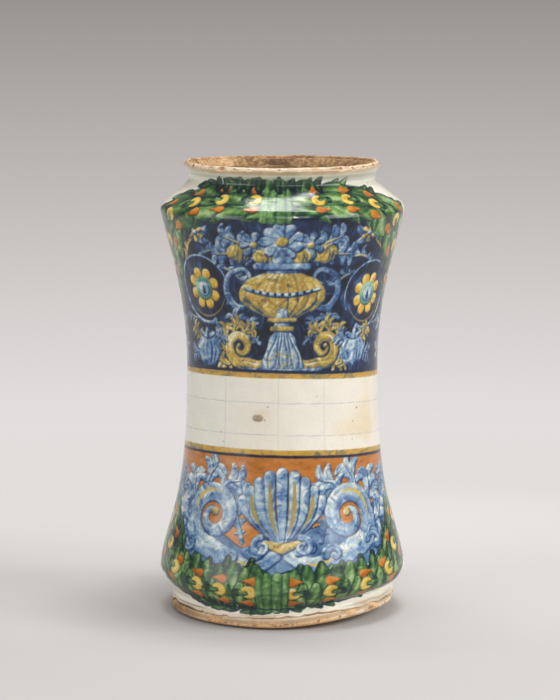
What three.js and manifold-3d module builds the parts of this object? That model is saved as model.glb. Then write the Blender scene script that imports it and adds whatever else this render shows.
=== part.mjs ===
// A waisted pharmacy jar (albarello) in painted tin-glazed earthenware, thrown in one piece on the wheel.
// Three fired layers make it: the clay body, the painted glaze coat outside, and the lead glaze lining inside.
// Millimetres, +Z up. The origin is the centre of the flat base that the jar stands on.

import * as THREE from "three";
import { mergeVertices } from "three/addons/utils/BufferGeometryUtils.js";
import Module from "manifold-3d";

// Heights, stacked from the table up to the rim.
const footRingHeight = 7;
const footCoveHeight = 5;
const skirtHeight = 11;
const lowerWallHeight = 119.6;
const upperWallHeight = 90.8;
const shoulderHeight = 16;
const neckHeight = 5;
const lipHeight = 4.6;

// Radii of the glazed outer face, from the foot to the rim.
const footRingRadius = 65;
const footCoveRadius = 63.2;
const bellyRadius = 70.9;
const waistRadius = 54.8;
const shoulderRadius = 70.3;
const neckRadius = 53;
const lipRadius = 56.2;

// Thicknesses of the clay.
const wallThickness = 5.5;
const floorThickness = 8;
const neckThickness = 4.2;
const lipThickness = 3.4;

// How far each end of the two wall curves runs on before it bends, and how far it leans in over that run.
const bellyRun = 30.6;
const bellyLean = 5.3;
const waistRunBelow = 80.6;
const waistRunAbove = 36.3;
const shoulderRun = 28.3;
const shoulderLean = 6.9;

// How round the corners are: the length of each side that the rounding takes up.
const bellyRounding = 3.5;
const shoulderRounding = 4;
const footRounding = 2.2;
const neckRounding = 3;
const floorRounding = 9;

// The glaze coats, their seat on the clay, and the bare clay that wear has left beyond their edges.
const outerGlazeThickness = 0.6;
const innerGlazeThickness = 0.4;
const glazeSeat = 0.3;
const bareFootHeight = 4.4;
const bareLipHeight = 3.2;
const bareMouthDepth = 8;
const footEdgeWaver = 0.9;
const lipEdgeWaver = 0.25;
const mouthEdgeWaver = 0.6;

// The foot was drawn up on one side when the jar was cut from the wheel; the middle of the base stayed flat.
const footSlant = 5.5;
const footSlantBearing = -8;
const flatBaseRadius = 34;

// Chips broken from the lip and from the foot. Bearings are in degrees round the axis.
const lipChips = [
  { bearing: 232, width: 7.5, depth: 1.5, height: 3.4 },
  { bearing: 205, width: 4, depth: 0.9, height: 2.4 },
  { bearing: 268, width: 3.2, depth: 0.8, height: 2 },
  { bearing: 306, width: 4.4, depth: 1.1, height: 2.6 },
  { bearing: 315, width: 3.4, depth: 1, height: 2.4 },
  { bearing: 338, width: 3, depth: 1.1, height: 2.6 },
  { bearing: 88, width: 9, depth: 1.8, height: 4 },
  { bearing: 140, width: 4, depth: 1, height: 2.4 },
  { bearing: 40, width: 5, depth: 0.9, height: 2.2 },
];
const footChips = [
  { bearing: 196, width: 8, depth: 1.3, height: 3.6 },
  { bearing: 240, width: 3.6, depth: 0.9, height: 2.4 },
  { bearing: 272, width: 4, depth: 1, height: 2.4 },
  { bearing: 322, width: 7, depth: 1.4, height: 3.4 },
  { bearing: 20, width: 5, depth: 1.1, height: 2.8 },
  { bearing: 115, width: 6, depth: 1.2, height: 3 },
];

const roundSteps = 44;

// Heights that follow from the stack, and the full thickness of the outer coat with its seat.
const coveZ = footRingHeight + footCoveHeight;
const bellyZ = coveZ + skirtHeight;
const waistZ = bellyZ + lowerWallHeight;
const shoulderZ = waistZ + upperWallHeight;
const neckZ = shoulderZ + shoulderHeight;
const lipZ = neckZ + neckHeight;
const rimZ = lipZ + lipHeight;
const coat = outerGlazeThickness + glazeSeat;

const at = (radius, height) => new THREE.Vector2(radius, height);
const degrees = THREE.MathUtils.degToRad;
const up = new THREE.Vector3(0, 0, 1);

// Samples curves laid end to end, without repeating the point where one meets the next.
function trace(...curves) {
  const outline = [curves[0].curve.getPoint(0)];
  for (const { curve, steps } of curves) {
    for (let step = 1; step <= steps; step += 1) {
      outline.push(curve.getPoint(step / steps));
    }
  }
  return outline;
}

const line = (from, to, steps = 1) => ({ curve: new THREE.LineCurve(from, to), steps });
const bend = (from, through, to, steps) => ({
  curve: new THREE.QuadraticBezierCurve(from, through, to),
  steps,
});
const sweep = (from, leave, arrive, to, steps) => ({
  curve: new THREE.CubicBezierCurve(from, leave, arrive, to),
  steps,
});

// A point that lies the given length from one point towards another.
function toward(from, to, length) {
  return from.clone().add(to.clone().sub(from).setLength(length));
}

// The jar's wall from the foot's cove up to the neck, set in from the glazed outer face by the given depth.
// The corners at belly and shoulder slide towards each other as the face moves in, so the wall stays even.
function wallCurves(inset, coveRadius, innerNeckRadius) {
  const slide = inset / 2;
  const cove = at(coveRadius, coveZ + slide);
  const belly = at(bellyRadius - inset, bellyZ + slide);
  const waist = at(waistRadius - inset, waistZ);
  const shoulder = at(shoulderRadius - inset, shoulderZ - slide);
  const neck = at(innerNeckRadius, neckZ - slide);
  const wallStart = at(belly.x, belly.y + bellyRounding);
  const shoulderLead = at(shoulder.x - shoulderLean, shoulder.y - shoulderRun);
  const wallEnd = toward(shoulder, shoulderLead, shoulderRounding);
  const skirtEnd = toward(belly, cove, bellyRounding);
  const slopeStart = toward(shoulder, neck, shoulderRounding);
  return {
    cove,
    neck,
    curves: [
      line(cove, skirtEnd),
      bend(skirtEnd, belly, wallStart, 2),
      sweep(
        wallStart,
        at(belly.x - bellyLean, wallStart.y + bellyRun),
        at(waist.x, waist.y - waistRunBelow),
        waist,
        6,
      ),
      sweep(waist, at(waist.x, waist.y + waistRunAbove), shoulderLead, wallEnd, 5),
      bend(wallEnd, shoulder, slopeStart, 2),
      bend(slopeStart, at(neck.x, neck.y - neckRounding), neck, 3),
    ],
  };
}

// The clay's outer face from the side of the foot ring up to the lip's widest point.
function outerFace() {
  const { cove, neck, curves } = wallCurves(coat, footCoveRadius - coat, neckRadius - coat);
  const ringStart = at(footRingRadius - coat, footRounding);
  const ringEnd = at(ringStart.x, footRingHeight - footRounding);
  const lip = at(lipRadius - coat, lipZ + lipHeight / 2);
  return {
    ringStart,
    lip,
    curves: [
      line(ringStart, ringEnd),
      sweep(ringEnd, at(ringEnd.x, footRingHeight), at(cove.x, footRingHeight), cove, 3),
      ...curves,
      bend(neck, at(neck.x, neckZ + neckHeight / 2), lip, 3),
    ],
  };
}

// The clay's inner face, from the middle of the floor up to the mouth.
function innerFace() {
  const inset = coat + wallThickness;
  const { cove, neck, curves } = wallCurves(
    inset,
    footCoveRadius - inset,
    neckRadius - coat - neckThickness,
  );
  const floorEnd = at(cove.x - floorRounding, floorThickness);
  const mouth = at(lipRadius - coat - lipThickness, rimZ - lipHeight / 3);
  return [
    line(at(0, floorThickness), floorEnd),
    bend(floorEnd, at(cove.x, floorThickness), cove, 2),
    ...curves,
    bend(neck, at(neck.x, lipZ), mouth, 2),
  ];
}

// Moves an outline sideways by a distance: positive is away from the axis when the outline runs upwards.
function offset(outline, distance) {
  return outline.map((point, index) => {
    const before = outline[Math.max(index - 1, 0)];
    const after = outline[Math.min(index + 1, outline.length - 1)];
    const along = after.clone().sub(before).normalize();
    return at(point.x + along.y * distance, point.y - along.x * distance);
  });
}

// The part of an outline between two heights, cut exactly at those heights.
function between(outline, low, high) {
  const kept = [];
  outline.forEach((point, index) => {
    const before = outline[Math.max(index - 1, 0)];
    for (const height of [low, high]) {
      if (before.y < height && point.y > height) {
        kept.push(before.clone().lerp(point, (height - before.y) / (point.y - before.y)));
      }
    }
    if (point.y >= low && point.y <= high) kept.push(point);
  });
  return kept;
}

// How far the foot is drawn up at a point: nothing on the flat middle of the base or above the belly.
function footLift(x, y, z) {
  const facing = Math.cos(Math.atan2(y, x) - degrees(footSlantBearing));
  const round = THREE.MathUtils.smoothstep(facing, -0.1, 1);
  const outward = THREE.MathUtils.smoothstep(Math.hypot(x, y), flatBaseRadius, footCoveRadius);
  const upward = 1 - THREE.MathUtils.smoothstep(z, footRingHeight, bellyZ);
  return footSlant * round * outward * upward;
}

// A hand-worn edge: a few slow waves round the jar, between -1 and 1.
function waver(bearing) {
  return (Math.sin(3 * bearing + 0.7) + Math.sin(7 * bearing + 2.1) + Math.sin(13 * bearing)) / 3;
}

// Turns a closed outline about the axis, and draws the foot up. Each worn edge names the points of the
// outline that lie on it and how far they stray up and down round the jar.
function revolve(outline, wornEdges = []) {
  const lathe = new THREE.LatheGeometry(outline, roundSteps);
  lathe.rotateX(Math.PI / 2);
  const places = lathe.getAttribute("position");
  for (let index = 0; index < places.count; index += 1) {
    const x = places.getX(index);
    const y = places.getY(index);
    const z = places.getZ(index);
    const edge = wornEdges.find(({ points }) => points.includes(index % outline.length));
    const stray = edge ? edge.stray * waver(Math.atan2(y, x)) : 0;
    places.setZ(index, z + stray + footLift(x, y, z));
  }
  return lathe;
}

const wasm = await Module();
wasm.setup();

function toSolid(geometry) {
  const bare = geometry.clone();
  bare.deleteAttribute("normal");
  bare.deleteAttribute("uv");
  const merged = mergeVertices(bare, 1e-3);
  return new wasm.Manifold(
    new wasm.Mesh({
      numProp: 3,
      vertProperties: merged.getAttribute("position").array,
      triVerts: new Uint32Array(merged.index.array),
    }),
  );
}

function toGeometry(solid) {
  const mesh = solid.getMesh();
  const geometry = new THREE.BufferGeometry();
  geometry.setAttribute("position", new THREE.BufferAttribute(mesh.vertProperties, 3));
  geometry.setIndex(new THREE.BufferAttribute(mesh.triVerts, 1));
  geometry.computeVertexNormals();
  return geometry;
}

// One bite out of an edge: a rough ball that stands half outside the edge and cuts in to the chip's depth.
function bite({ bearing, width, depth, height }, edgeRadius, edgeZ) {
  const ball = new THREE.IcosahedronGeometry(1);
  const edge = new THREE.Vector3(edgeRadius, 0, 0).applyAxisAngle(up, degrees(bearing));
  ball.scale(2 * depth, width / 2, height / 2);
  ball.translate(edgeRadius + depth, 0, edgeZ);
  ball.rotateZ(degrees(bearing));
  ball.translate(0, 0, footLift(edge.x, edge.y, edgeZ));
  return toSolid(ball);
}

function chipped(geometry) {
  let solid = toSolid(geometry);
  for (const chip of lipChips) {
    solid = solid.subtract(bite(chip, lipRadius - coat, rimZ - lipHeight / 4));
  }
  for (const chip of footChips) {
    solid = solid.subtract(bite(chip, footRingRadius - coat, footRounding));
  }
  return toGeometry(solid);
}

// The clay body: base, wall, neck and lip in one closed outline that starts and ends on the axis.
function clayBody() {
  const { ringStart, lip, curves } = outerFace();
  const inner = trace(...innerFace()).reverse();
  const mouth = inner[0];
  const crown = at((lip.x + mouth.x) / 2, rimZ);
  const ringFoot = at(ringStart.x - footRounding, 0);
  const outline = trace(
    line(at(0, 0), at(flatBaseRadius, 0)),
    line(at(flatBaseRadius, 0), ringFoot, 3),
    bend(ringFoot, at(ringStart.x, 0), ringStart, 2),
    ...curves,
    bend(lip, at(lip.x, rimZ), crown, 2),
    bend(crown, at(mouth.x, rimZ), mouth, 2),
  );
  return chipped(revolve([...outline, ...inner.slice(1)]));
}

// The painted coat, from the worn side of the foot ring to just below the worn lip.
function outerGlaze() {
  const face = between(trace(...outerFace().curves), bareFootHeight, rimZ - bareLipHeight);
  const surface = offset(face, coat);
  const seat = offset(face, glazeSeat).reverse();
  const top = surface.length - 1;
  const outline = [...surface, ...seat, surface[0].clone()];
  return chipped(
    revolve(outline, [
      { points: [0, outline.length - 2, outline.length - 1], stray: footEdgeWaver },
      { points: [top, top + 1], stray: lipEdgeWaver },
    ]),
  );
}

// The lining, a deep cup that ends inside the mouth.
function innerGlaze() {
  const face = between(trace(...innerFace()), 0, rimZ - bareMouthDepth);
  const seat = offset(face, -glazeSeat);
  const surface = offset(face, -glazeSeat - innerGlazeThickness).reverse();
  const top = seat.length - 1;
  return revolve([...seat, ...surface], [{ points: [top, top + 1], stray: mouthEdgeWaver }]);
}

function node(name, geometry, color, roughness) {
  const material = new THREE.MeshStandardMaterial({ color, roughness, metalness: 0 });
  const mesh = new THREE.Mesh(geometry, material);
  mesh.name = name;
  return mesh;
}

const jar = new THREE.Group();
jar.add(
  node("clay_body", clayBody(), 0xc9a27e, 0.9),
  node("outer_glaze", outerGlaze(), 0xe9e6da, 0.15),
  node("inner_glaze", innerGlaze(), 0x8a6a48, 0.4),
);

export default jar;
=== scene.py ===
# %% [markdown]
# # A waisted pharmacy jar in painted tin glaze
#
# The jar is one pot thrown on the wheel, with two coats fired onto it: a white tin glaze outside, painted
# in a few metal colours, and a thin brown lead glaze inside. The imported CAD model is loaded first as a
# fixed frame. Each of its three solids is then replaced by a finer mesh in exactly the same place, because
# a painter's brush marks, a chipped lip and a crawled glaze edge need far more faces than a solid should.

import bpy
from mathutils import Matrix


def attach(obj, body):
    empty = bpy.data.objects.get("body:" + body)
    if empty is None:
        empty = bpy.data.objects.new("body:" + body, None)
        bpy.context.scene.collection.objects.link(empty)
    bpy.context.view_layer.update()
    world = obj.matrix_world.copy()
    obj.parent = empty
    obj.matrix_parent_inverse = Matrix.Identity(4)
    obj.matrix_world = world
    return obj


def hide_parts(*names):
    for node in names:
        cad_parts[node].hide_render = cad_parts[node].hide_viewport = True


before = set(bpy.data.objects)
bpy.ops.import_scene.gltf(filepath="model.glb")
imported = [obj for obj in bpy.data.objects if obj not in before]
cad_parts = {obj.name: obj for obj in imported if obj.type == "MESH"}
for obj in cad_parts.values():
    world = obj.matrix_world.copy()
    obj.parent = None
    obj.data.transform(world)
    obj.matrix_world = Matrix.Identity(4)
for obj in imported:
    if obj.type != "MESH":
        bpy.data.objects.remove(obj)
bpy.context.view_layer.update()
print("solids in the frame:", sorted(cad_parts))

# %% [markdown]
# ## The view
#
# A camera with a long lens stands 1.66 m from the jar's axis and a little above the rim, so the mouth is
# a flat sliver and the foot a rounder curve. A lens could be guessed by eye; here its length is worked
# out from how many pixels one radian fills, which makes the outline land where it should.

# %% Camera
import math

import bpy
import numpy as np

mm = 0.001
picture_height = 700
pixels_per_radian = 2923.2
sensor = 36.0
camera_place = (-1.3 * mm, -1.66, 0.3924)
looks_down = 8.32

camera_data = bpy.data.cameras.new("long_lens")
camera_data.sensor_width = sensor
camera_data.lens = pixels_per_radian * sensor / picture_height
camera = bpy.data.objects.new("long_lens", camera_data)
camera.location = camera_place
camera.rotation_euler = (math.radians(90 - looks_down), 0, 0)
bpy.context.scene.collection.objects.link(camera)
bpy.context.scene.camera = camera
bpy.context.scene.view_settings.view_transform = "Standard"
print("lens, mm:", round(camera_data.lens, 1))

# %% [markdown]
# ## The thrown outline
#
# A potter's profile is a line turned about the wheel's axis. The outline below is built from the same few
# heights and radii as the solid: a foot ring, a cove, a skirt that flares to the belly, the long waist, the
# shoulder, a slope up to the neck, and a lip. Bezier curves join them, because clay leaves no true corner.
# All lengths from here on are in millimetres, and are turned to metres only when a mesh is made.

# %% Heights and radii
foot_ring_top, cove_z, belly_z, waist_z = 7.0, 12.0, 23.0, 142.6
shoulder_z, neck_z, lip_z, rim_z = 233.4, 249.4, 254.4, 259.0
ring_radius, cove_radius, belly_radius, waist_radius = 65.0, 63.2, 70.9, 54.8
shoulder_radius, neck_radius, lip_radius = 70.3, 53.0, 56.2
coat, wall, neck_wall, lip_wall, floor_z = 0.9, 5.5, 4.2, 3.4, 8.0
flat_base_radius, foot_rounding = 34.0, 2.2
crown = (lip_radius - coat - lip_wall / 2, rim_z)


def bezier(*points, steps=90):
    """A Bezier curve of any degree, as evenly timed points."""
    share = np.linspace(0, 1, steps + 1)[:, None]
    curve = [np.repeat(np.array([point], float), steps + 1, 0) for point in points]
    while len(curve) > 1:
        curve = [(1 - share) * here + share * there for here, there in zip(curve, curve[1:])]
    return curve[0]


def toward(start, end, length):
    """The point that lies a length from start on the way to end."""
    start, end = np.array(start, float), np.array(end, float)
    return start + (end - start) * length / np.linalg.norm(end - start)


def joined(*curves):
    """Curves laid end to end, with each shared point kept once."""
    return np.vstack([curves[0]] + [curve[1:] for curve in curves[1:]])


def wall_line(inset, cove_r, neck_r):
    """The wall from cove to neck, moved in from the glazed face; its corners slide so that it stays even."""
    slide = inset / 2
    cove = (cove_r, cove_z + slide)
    belly = (belly_radius - inset, belly_z + slide)
    waist = (waist_radius - inset, waist_z)
    shoulder = (shoulder_radius - inset, shoulder_z - slide)
    neck = (neck_r, neck_z - slide)
    wall_start = (belly[0], belly[1] + 3.5)
    lead = (shoulder[0] - 6.9, shoulder[1] - 28.3)
    wall_end = toward(shoulder, lead, 4)
    skirt_end = toward(belly, cove, 3.5)
    slope_start = toward(shoulder, neck, 4)
    return joined(
        bezier(cove, skirt_end),
        bezier(skirt_end, belly, wall_start),
        bezier(wall_start, (belly[0] - 5.3, wall_start[1] + 30.6), (waist[0], waist[1] - 80.6), waist),
        bezier(waist, (waist[0], waist[1] + 36.3), lead, wall_end),
        bezier(wall_end, shoulder, slope_start),
        bezier(slope_start, (neck[0], neck[1] - 3), neck),
    )


def outer_line(inset):
    """The outside from the foot ring's side to the crown of the lip, moved in from the glazed face."""
    outer_wall = wall_line(inset, cove_radius - inset, neck_radius - inset)
    side = (ring_radius - inset, foot_rounding)
    top = (side[0], foot_ring_top - foot_rounding)
    widest = (lip_radius - inset, (lip_z + rim_z) / 2)
    return joined(
        bezier(side, top),
        bezier(top, (top[0], foot_ring_top), (outer_wall[0, 0], foot_ring_top), outer_wall[0]),
        outer_wall,
        bezier(outer_wall[-1], (outer_wall[-1, 0], (neck_z + lip_z) / 2), widest),
        bezier(widest, (widest[0], rim_z), crown),
    )


glaze_outside, clay_outside = outer_line(0), outer_line(coat)
inner_wall = wall_line(coat + wall, cove_radius - coat - wall, neck_radius - coat - neck_wall)
ring_side, lip_side = clay_outside[0], (lip_radius - coat, (lip_z + rim_z) / 2)
mouth = (lip_side[0] - lip_wall, rim_z - (rim_z - lip_z) / 3)
clay_base = joined(
    bezier((0, 0), (flat_base_radius, 0)),
    bezier((flat_base_radius, 0), (ring_side[0] - foot_rounding, 0)),
    bezier((ring_side[0] - foot_rounding, 0), (ring_side[0], 0), ring_side),
)
clay_lip = bezier(crown, (mouth[0], rim_z), mouth)
clay_inside = joined(
    bezier(mouth, (inner_wall[-1, 0], lip_z), inner_wall[-1]),
    inner_wall[::-1],
    bezier(inner_wall[0], (inner_wall[0, 0], floor_z), (inner_wall[0, 0] - 9, floor_z)),
    bezier((inner_wall[0, 0] - 9, floor_z), (0, floor_z)),
)
print("clay outline, points:", len(clay_base) + len(clay_outside) + len(clay_lip) + len(clay_inside))

# %% [markdown]
# Three tools work on an outline. `spaced` lays points at an even pitch along it, since a mesh needs rows of
# one height and not the uneven steps of a Bezier curve. `moved_out` shifts it square to itself, which is
# how a coat of glaze follows the clay under it. `between` keeps the part between two heights.

# %% Even spacing and offsets
def lengths_along(outline):
    return np.concatenate([[0], np.cumsum(np.linalg.norm(np.diff(outline, axis=0), axis=1))])


def spaced(outline, pitch):
    """Points about one pitch apart along the outline, both ends kept."""
    arc = lengths_along(outline)
    even = np.linspace(0, arc[-1], max(2, round(arc[-1] / pitch) + 1))
    return np.column_stack([np.interp(even, arc, outline[:, side]) for side in (0, 1)])


def moved_out(outline, distance):
    """The outline shifted square to itself: away from the axis where it runs upwards."""
    along = np.gradient(outline, axis=0)
    along /= np.linalg.norm(along, axis=1)[:, None]
    return outline + distance * np.column_stack([along[:, 1], -along[:, 0]])


def between(outline, low, high):
    """The part of an outline that lies between two heights."""
    return outline[(outline[:, 1] >= low) & (outline[:, 1] <= high)]


glaze_low_z, glaze_high_z = 4.4, rim_z - 1.1
glazed = between(spaced(glaze_outside, 0.1), glaze_low_z, glaze_high_z)
print("glazed face from foot to lip, mm:", round(lengths_along(glazed)[-1], 1))

# %% [markdown]
# ## The canvas
#
# A maiolica painter works on the raw, powdery glaze of the whole pot, turning it on a bench wheel. The
# paint could be an image wrapped round the jar, but an image is a file of its own; here the colours live
# on the mesh itself, one for each vertex of a very fine grid. So the painting is done on a chart: x runs
# round the jar from the front, y runs up the glazed face, and both are in millimetres.

# %% Chart of the glazed face
pitch = 0.45
chart_radius = 62.0
face = spaced(glazed, pitch)
face_arc = lengths_along(face)
rows = len(face)
columns = 8 * round(2 * math.pi * chart_radius / pitch / 8)
around = 2 * math.pi * chart_radius
column_step = around / columns
row_step = face_arc[1]
theta = (np.arange(columns) / columns - 0.5) * 2 * math.pi
theta_map, z_map = np.meshgrid(theta, face[:, 1])
arc_map = np.repeat(face_arc[:, None], columns, 1)
bearing_map = np.degrees(theta_map)
print("canvas:", rows, "rows of", columns, "colours,", round(row_step, 2), "mm apart")


def chart(x, z):
    """A chart point for a place given by its distance round from the front and its height."""
    return np.column_stack([np.atleast_1d(x), np.interp(np.atleast_1d(z), face[:, 1], face_arc)])


def at(x, z):
    """The chart point of a single place."""
    return chart(x, z)[0]


def colour(text):
    """A colour from its six hexadecimal digits, as numbers from 0 to 1."""
    return np.array([int(text[place:place + 2], 16) / 255 for place in (0, 2, 4)])


def palette(*texts):
    """A row of tones, from shadow to light."""
    return [colour(text) for text in texts]


# %% [markdown]
# Hand-made surfaces are never even. `cloud` is a soft random field over the whole chart, with blobs of a
# chosen width and height, that meets itself at the back seam. Thin glaze, patchy colour, brush streaks and
# wavy relief all come from it with different blob sizes; `field` does the same on a grid of another size.
# Each call has its own seed, so it repeats exactly.

# %% Random fields
def weights(places, cells, wraps):
    """How much of each of the cells goes into each place: smooth steps between neighbours."""
    table = np.zeros((len(places), cells))
    low = np.floor(places).astype(int)
    part = places - low
    part = part * part * (3 - 2 * part)
    high = (low + 1) % cells if wraps else np.minimum(low + 1, cells - 1)
    table[np.arange(len(places)), low] += 1 - part
    table[np.arange(len(places)), high] += part
    return table


def field(width, height, seed, shape, size):
    """Values from 0 to 1 over a grid of this shape and size in mm, in blobs of this width and height."""
    across, up = max(3, round(size[1] / width)), max(3, round(size[0] / height) + 2)
    lattice = np.random.default_rng(seed).random((up, across))
    vertical = weights(np.arange(shape[0]) * (up - 1.001) / shape[0], up, False)
    return vertical @ lattice @ weights(np.arange(shape[1]) * across / shape[1], across, True).T


def cloud(width, height, seed):
    """A random field over the whole chart."""
    return field(width, height, seed, (rows, columns), (face_arc[-1], around))


def smooth(low, high, value):
    """0 below low, 1 above high and an S-shaped step between."""
    share = np.clip((value - low) / (high - low), 0, 1)
    return share * share * (3 - 2 * share)


def stirred(values, reach, seed):
    """The field pulled about by up to this many mm, so that its blobs lose their rows and columns."""
    up, across = (reach * (cloud(6, 6, seed + step) - 0.5) * 2 for step in (0, 1))
    row = np.clip(np.arange(rows)[:, None] + np.rint(up / row_step).astype(int), 0, rows - 1)
    column = (np.arange(columns) + np.rint(across / column_step).astype(int)) % columns
    return values[row, column]


mottle = (cloud(9, 9, 1) + 0.6 * cloud(4, 4, 2) + 0.4 * cloud(1.8, 1.8, 3)) / 2
grain = cloud(0.9, 0.9, 4)
wash = stirred(cloud(5, 2.6, 5) * 0.6 + cloud(2.0, 1.3, 6) * 0.4, 4, 61)
print("mottle spans", round(float(mottle.min()), 2), "to", round(float(mottle.max()), 2))

# %% [markdown]
# ## One touch of the brush
#
# Everything on the jar is made of brush touches: a path with a width that swells and tapers. For each
# vertex near the path, `touch` finds how many millimetres it lies inside the edge, how far along the path,
# and how far across. From these come all the marks: a flat fill, an outline, a rounded form lit from the
# left, or streaks that follow the pull of the hair. `lay` then mixes the touch's colour into the canvas,
# and `mix_in` does so for a tint that covers a whole field.

# %% Brush
from collections import namedtuple

paint = np.ones((rows, columns, 3))
Touch = namedtuple("Touch", "window inside along across lit")
light_from = np.array([-0.5, 0.87])


def curved(points, count=22):
    """A smooth path through a few points (Catmull-Rom)."""
    points = np.array(points, float)
    if len(points) < 3:
        return np.linspace(points[0], points[-1], count)
    padded = np.vstack([2 * points[0] - points[1], points, 2 * points[-1] - points[-2]])
    places = np.linspace(0, len(points) - 1, count)
    low = np.minimum(places.astype(int), len(points) - 2)
    t = (places - low)[:, None]
    a, b, c, d = (padded[low + step] for step in range(4))
    return 0.5 * (2 * b + (c - a) * t + (2 * a - 5 * b + 4 * c - d) * t**2 + (3 * b - a - 3 * c + d) * t**3)


def touch(path, widths):
    """Where a brush of these widths, pulled along this path, meets the canvas."""
    room = 0.8
    path = np.array(path, float)
    radius = np.interp(np.linspace(0, 1, len(path)), np.linspace(0, 1, len(widths)), widths) / 2
    reach = radius.max() + room
    left, right = path[:, 0].min() - reach, path[:, 0].max() + reach
    low, high = path[:, 1].min() - reach, path[:, 1].max() + reach
    first = math.floor((left + around / 2) / column_step)
    last = math.ceil((right + around / 2) / column_step)
    bottom = max(0, math.floor(low / row_step))
    top = min(rows, math.ceil(high / row_step) + 1)
    if top <= bottom:
        return None
    picked = np.arange(first, last + 1)
    x = picked * column_step - around / 2
    y = np.arange(bottom, top) * row_step
    grid_x, grid_y = np.meshgrid(x, y)
    best = np.full(grid_x.shape, -1e9)
    along, across, lit = np.zeros_like(best), np.zeros_like(best), np.zeros_like(best)
    for step in range(len(path) - 1):
        start, way = path[step], path[step + 1] - path[step]
        size = math.hypot(*way) + 1e-9
        ahead = np.clip(((grid_x - start[0]) * way[0] + (grid_y - start[1]) * way[1]) / size**2, 0, 1)
        off_x = grid_x - start[0] - ahead * way[0]
        off_y = grid_y - start[1] - ahead * way[1]
        wide = radius[step] + (radius[step + 1] - radius[step]) * ahead
        depth = wide - np.hypot(off_x, off_y)
        nearer = depth > best
        best = np.where(nearer, depth, best)
        scale = np.maximum(wide, 0.05)
        side = (off_x * -way[1] + off_y * way[0]) / size / scale
        along = np.where(nearer, (step + ahead) / (len(path) - 1), along)
        across = np.where(nearer, side, across)
        lit = np.where(nearer, (off_x * light_from[0] + off_y * light_from[1]) / scale, lit)
    window = np.ix_(np.arange(bottom, top), picked % columns)
    return Touch(window, best, along, across, lit)


def lay(mark, tint, cover):
    """Mixes a colour, one for the mark or one for each of its vertices, into the canvas."""
    cover = np.clip(cover, 0, 1)[..., None]
    paint[mark.window] = paint[mark.window] * (1 - cover) + tint * cover


def mix_in(canvas, tint, cover):
    """Moves a whole canvas toward a colour by a share that may differ from vertex to vertex."""
    canvas += (tint - canvas) * cover[..., None]


def filled(mark, soft=0.3):
    """1 inside the mark's edge, 0 outside, with a soft rim."""
    return np.clip(mark.inside / soft / 2 + 0.5, 0, 1)


def edge(mark, width):
    """1 on the mark's edge, fading over half the line's width."""
    return np.clip(1.15 - np.abs(mark.inside) / (width / 2 + 0.12), 0, 1)


def shade(tones, value):
    """A colour from a row of tones, the first at 0 and the last at 1."""
    tones = np.array(tones)
    places = np.linspace(0, 1, len(tones))
    return np.stack([np.interp(value, places, tones[:, band]) for band in range(3)], -1)


def line(path, width, tint, strength=0.9):
    """A plain pulled line, a little uneven in its strength."""
    mark = touch(path, np.atleast_1d(width) if np.ndim(width) else [width, width])
    if mark is not None:
        lay(mark, tint, filled(mark, 0.25) * strength * (0.75 + 0.4 * wash[mark.window]))


def form(path, widths, tones, ink, rim=0.45, streaks=7.0, roundness=0.42):
    """A modelled form: rounded by light and shade, streaked along its length, with an inked edge."""
    mark = touch(path, widths)
    if mark is None:
        return
    seed = (abs(float(path[0][0])) * 7.3 + float(path[0][1]) * 3.1) % 17
    pull = wash[mark.window]
    hair = np.sin(mark.across * streaks + seed + 1.4 * np.sin(mark.along * 5 + seed) + 3 * pull)
    turned_away = smooth(0.3, -0.5, mark.lit)
    value = 0.57 + roundness * mark.lit * (0.3 + 0.8 * pull) + 0.09 * hair + 0.8 * (pull - 0.5)
    value = value + 0.2 * (grain[mark.window] - 0.5) - 0.28 * smooth(1.5, 0, mark.inside) * turned_away
    lay(mark, shade(tones, np.clip(value, 0, 1)), filled(mark, 0.4) * 0.97)
    lay(mark, ink, edge(mark, rim) * (0.1 + 0.75 * grain[mark.window]) * (0.45 + 0.55 * turned_away))


print("canvas of", paint.size // 3, "colours is ready")

# %% [markdown]
# ## White glaze and the painted fields
#
# The ground is a tin glaze: lead glass made white by tin ash. It is creamy where thick and a little green
# where thin, so it gets soft patches and not one flat white. The front panel has two coloured grounds with
# a pale label band between them. The rings that bound the band were pulled by hand with the pot leaning,
# so they stand higher at the front than at the back; `ring_height` holds that lean in one place.

# %% Glaze and grounds
white, cream, thin_green = colour("efe8d8"), colour("e2d8c0"), colour("c3cfbb")
navy = palette("02050e", "07132a", "13284c", "365680")
orange = palette("8c4c1c", "b06a2a", "bf7834", "cc8c4a")
ink, soft_ink = colour("101c3a"), colour("22406b")
upper_ring_z, lower_ring_z = 138.9, 95.8


def ring_height(base_z, bearing):
    return base_z + 4.0 * np.cos(bearing) - 1.2 * np.sin(bearing)


paint[:] = shade([cream, white, white, thin_green], mottle * 0.75 + 0.1)
# Grey-green where the glaze is thin: at the neck and a little above the foot. At the neck it is also painted
# shade, for the hollow under the lip.
thin_glaze_and_neck_shade = smooth(243, 256, z_map) + 0.3 * smooth(16, 8, z_map)
mix_in(paint, thin_green, 0.85 * np.clip(thin_glaze_and_neck_shade, 0, 1) * (0.6 + 0.4 * wash))

# Where the wreath's inner edge runs, as bearings from the front at given heights.
panel_z = [33, 33.4, 34, 35.5, 38.7, 51, 68, 92, 120, 150, 172, 189, 213, 220, 225, 231, 232.4, 233, 233.4]
panel_degrees = [-12, 0, 30, 45, 55, 62, 78, 90, 94, 90, 80, 71.5, 62.7, 57.5, 52, 44, 28, 0, -12]
panel_edge = np.radians(np.interp(z_map, panel_z, panel_degrees))
inside_wreath = (panel_edge - np.abs(theta_map)) * chart_radius
panel = smooth(-2.5, 1.5, inside_wreath)
upper_ring = ring_height(upper_ring_z, theta_map)
lower_ring = ring_height(lower_ring_z, theta_map)
blue_field = panel * smooth(-0.2, 0.2, z_map - upper_ring)
orange_field = panel * smooth(-0.2, 0.2, lower_ring - z_map)

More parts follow.
